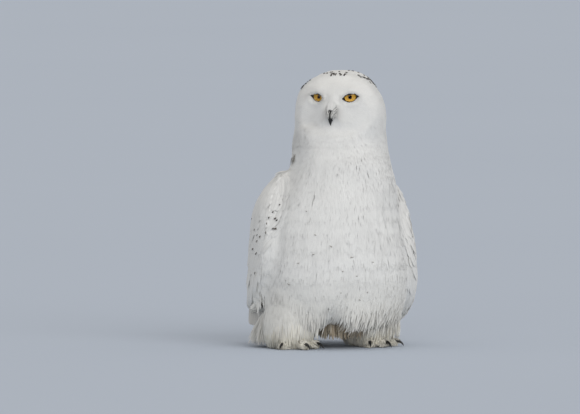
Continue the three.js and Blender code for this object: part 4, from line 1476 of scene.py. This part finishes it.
def bristles():
    """Fine bristles beside the bill, which sweep down and forward, and short feathers that cover its root."""
    coat = Coat()
    t = np.linspace(0, 1, 6)
    for side in (-1, 1):
        low = rng.random(BILL_BRISTLES)
        lateral = side * (0.8 + 10.5 * rng.random(BILL_BRISTLES))
        height_ = 441 - 20 * low
        for k in range(BILL_BRISTLES):
            root, _ = cast(skin_tree, on_head(lateral[k], CAST_FROM, height_[k]), -FACE)
            if root is None:
                continue
            inward = rng.uniform(0.12, 0.5) if rng.random() < 0.75 else rng.uniform(0.5, 1.1)
            tip_up = max(height_[k] - rng.uniform(12, 21), rng.uniform(418, 425) - 7 * max(inward - 0.5, 0))
            out = np.interp(tip_up, [402, 412, 424, 434], [80, 86, 88.5, 84]) - 7 * inward + rng.uniform(-1.0, 0.8)
            aside = max(abs(lateral[k]) * inward, rng.uniform(1.4, 2.8))
            tip = on_head(side * aside, out, tip_up)
            bend = (root + tip) / 2 + FACE * rng.uniform(2.5, 5) * MM + UP * rng.uniform(1, 4) * MM
            line = (1 - t)[:, None] ** 2 * root + 2 * (t * (1 - t))[:, None] * bend + (t**2)[:, None] * tip
            up = unit(np.tile(FACE + FACE_LEFT * side * 0.2 + UP * 0.5, (len(t), 1)))
            dark = rng.random() < 0.16
            tone = SOOT if dark else WHITE * rng.uniform(0.86, 1.0)
            half = (0.26 if dark else 0.34) * MM * np.array([0.8, 1.0, 0.9, 0.7, 0.45, 0.0])
            coat.lay(line, up, half, SLIM, tone, soften=0.4)
    bill_tree = tree_of(*node_arrays("bill_upper"))
    t = np.array(BODY_TUFT["t"])

    def front_of(left, up, above):
        """The foremost point of the skin or the bill there, and a little in front of it."""
        start = Vector(on_head(left, CAST_FROM, up))
        hits = [tree.ray_cast(start, Vector(-FACE)) for tree in (skin_tree, bill_tree)]
        near_hit = min((h for h in hits if h[0] is not None), key=lambda h: h[3])
        return np.array(near_hit[0]) + FACE * above * MM

    for _ in range(BILL_ROOT_FEATHERS):
        left = rng.uniform(-7.5, 7.5)
        top = 452 - 0.45 * abs(left) - 7 * rng.random()
        foot_ = min(top - 4, 436.5 - 0.2 * abs(left) + rng.normal(0, 1.6))
        root, tip = front_of(left, top, 0.5), front_of(left * 0.8, foot_, rng.uniform(1.0, 2.2))
        middle = front_of(left * 0.9, (top + foot_) / 2, 0.0)
        bulge = max(dot(middle - (root + tip) / 2, FACE)[0], 0) * 2 + rng.uniform(3.0, 4.5) * MM
        line = root + (tip - root) * t[:, None] + FACE * (bulge * 2 * t * (1 - t))[:, None]
        half = rng.uniform(0.6, 0.95) * MM * np.array(BODY_TUFT["half"])
        coat.lay(line, unit(FACE + 0.35 * UP), half, SLIM, WHITE * rng.uniform(0.88, 1.0), soften=0.3)
    coat.finish("bill_bristles", down_material)


bristles()


# ---- Claws: rounded pieces in place of the faceted solids ----
def claws():
    for name in sorted(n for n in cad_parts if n.startswith("claw_")):
        co, tris = node_arrays(name)
        claw = piece(name + "_horn", co, tris, horn)
        round_off = claw.modifiers.new("round", "SUBSURF")
        round_off.levels = round_off.render_levels = 2
        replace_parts(claw, name)


claws()


# ---- Stage, light and camera ----
def stage():
    made, tree, shader = material("floor", Roughness=0.95, Specular_IOR_Level=0.0)
    place = place_of(tree)
    share = two_tones(tree, shader, (0.540, 0.595, 0.680), (0.552, 0.607, 0.692))
    tree.links.new(noise_node(tree, place, 0.6, 2.0), share)
    size = FLOOR_HALF
    me = bpy.data.meshes.new("floor")
    me.from_pydata([(-size, -size, FLOOR), (size, -size, FLOOR), (size, size, FLOOR), (-size, size, FLOOR)],
                   [], [(0, 1, 2, 3)])
    me.materials.append(made)
    placed("floor", me)


def light():
    world = bpy.data.worlds.new("soft")
    world.use_nodes = True
    background = world.node_tree.nodes["Background"]
    background.inputs["Color"].default_value = WORLD_COLOUR
    background.inputs["Strength"].default_value = WORLD_STRENGTH
    bpy.context.scene.world = world
    for name, azimuth, elevation, energy, angle in LIGHTS:
        lamp = bpy.data.lights.new(name, "SUN")
        lamp.energy = energy
        lamp.angle = math.radians(angle)
        obj = placed(name, lamp)
        e = math.radians(elevation)
        towards = heading(azimuth) * math.cos(e) + UP * math.sin(e)
        obj.rotation_mode = "QUATERNION"
        obj.rotation_quaternion = Vector(towards).to_track_quat("Z", "Y")


def camera():
    data = bpy.data.cameras.new("camera")
    data.sensor_width = 36.0
    data.lens = data.sensor_width * CAMERA["distance"] / CAMERA["frame_width"]
    data.clip_end = 200.0
    obj = placed("camera", data)
    target = BODY_AXIS + (SEEN_RIGHT * CAMERA["across"] + SEEN_UP * CAMERA["up"]) * MM
    obj.location = target + SEEN_BACK * CAMERA["distance"] * MM
    obj.rotation_mode = "QUATERNION"
    obj.rotation_quaternion = Vector(SEEN_BACK).to_track_quat("Z", "Y")
    bpy.context.scene.camera = obj


stage()
light()
camera()
bpy.context.scene.view_settings.view_transform = "Standard"
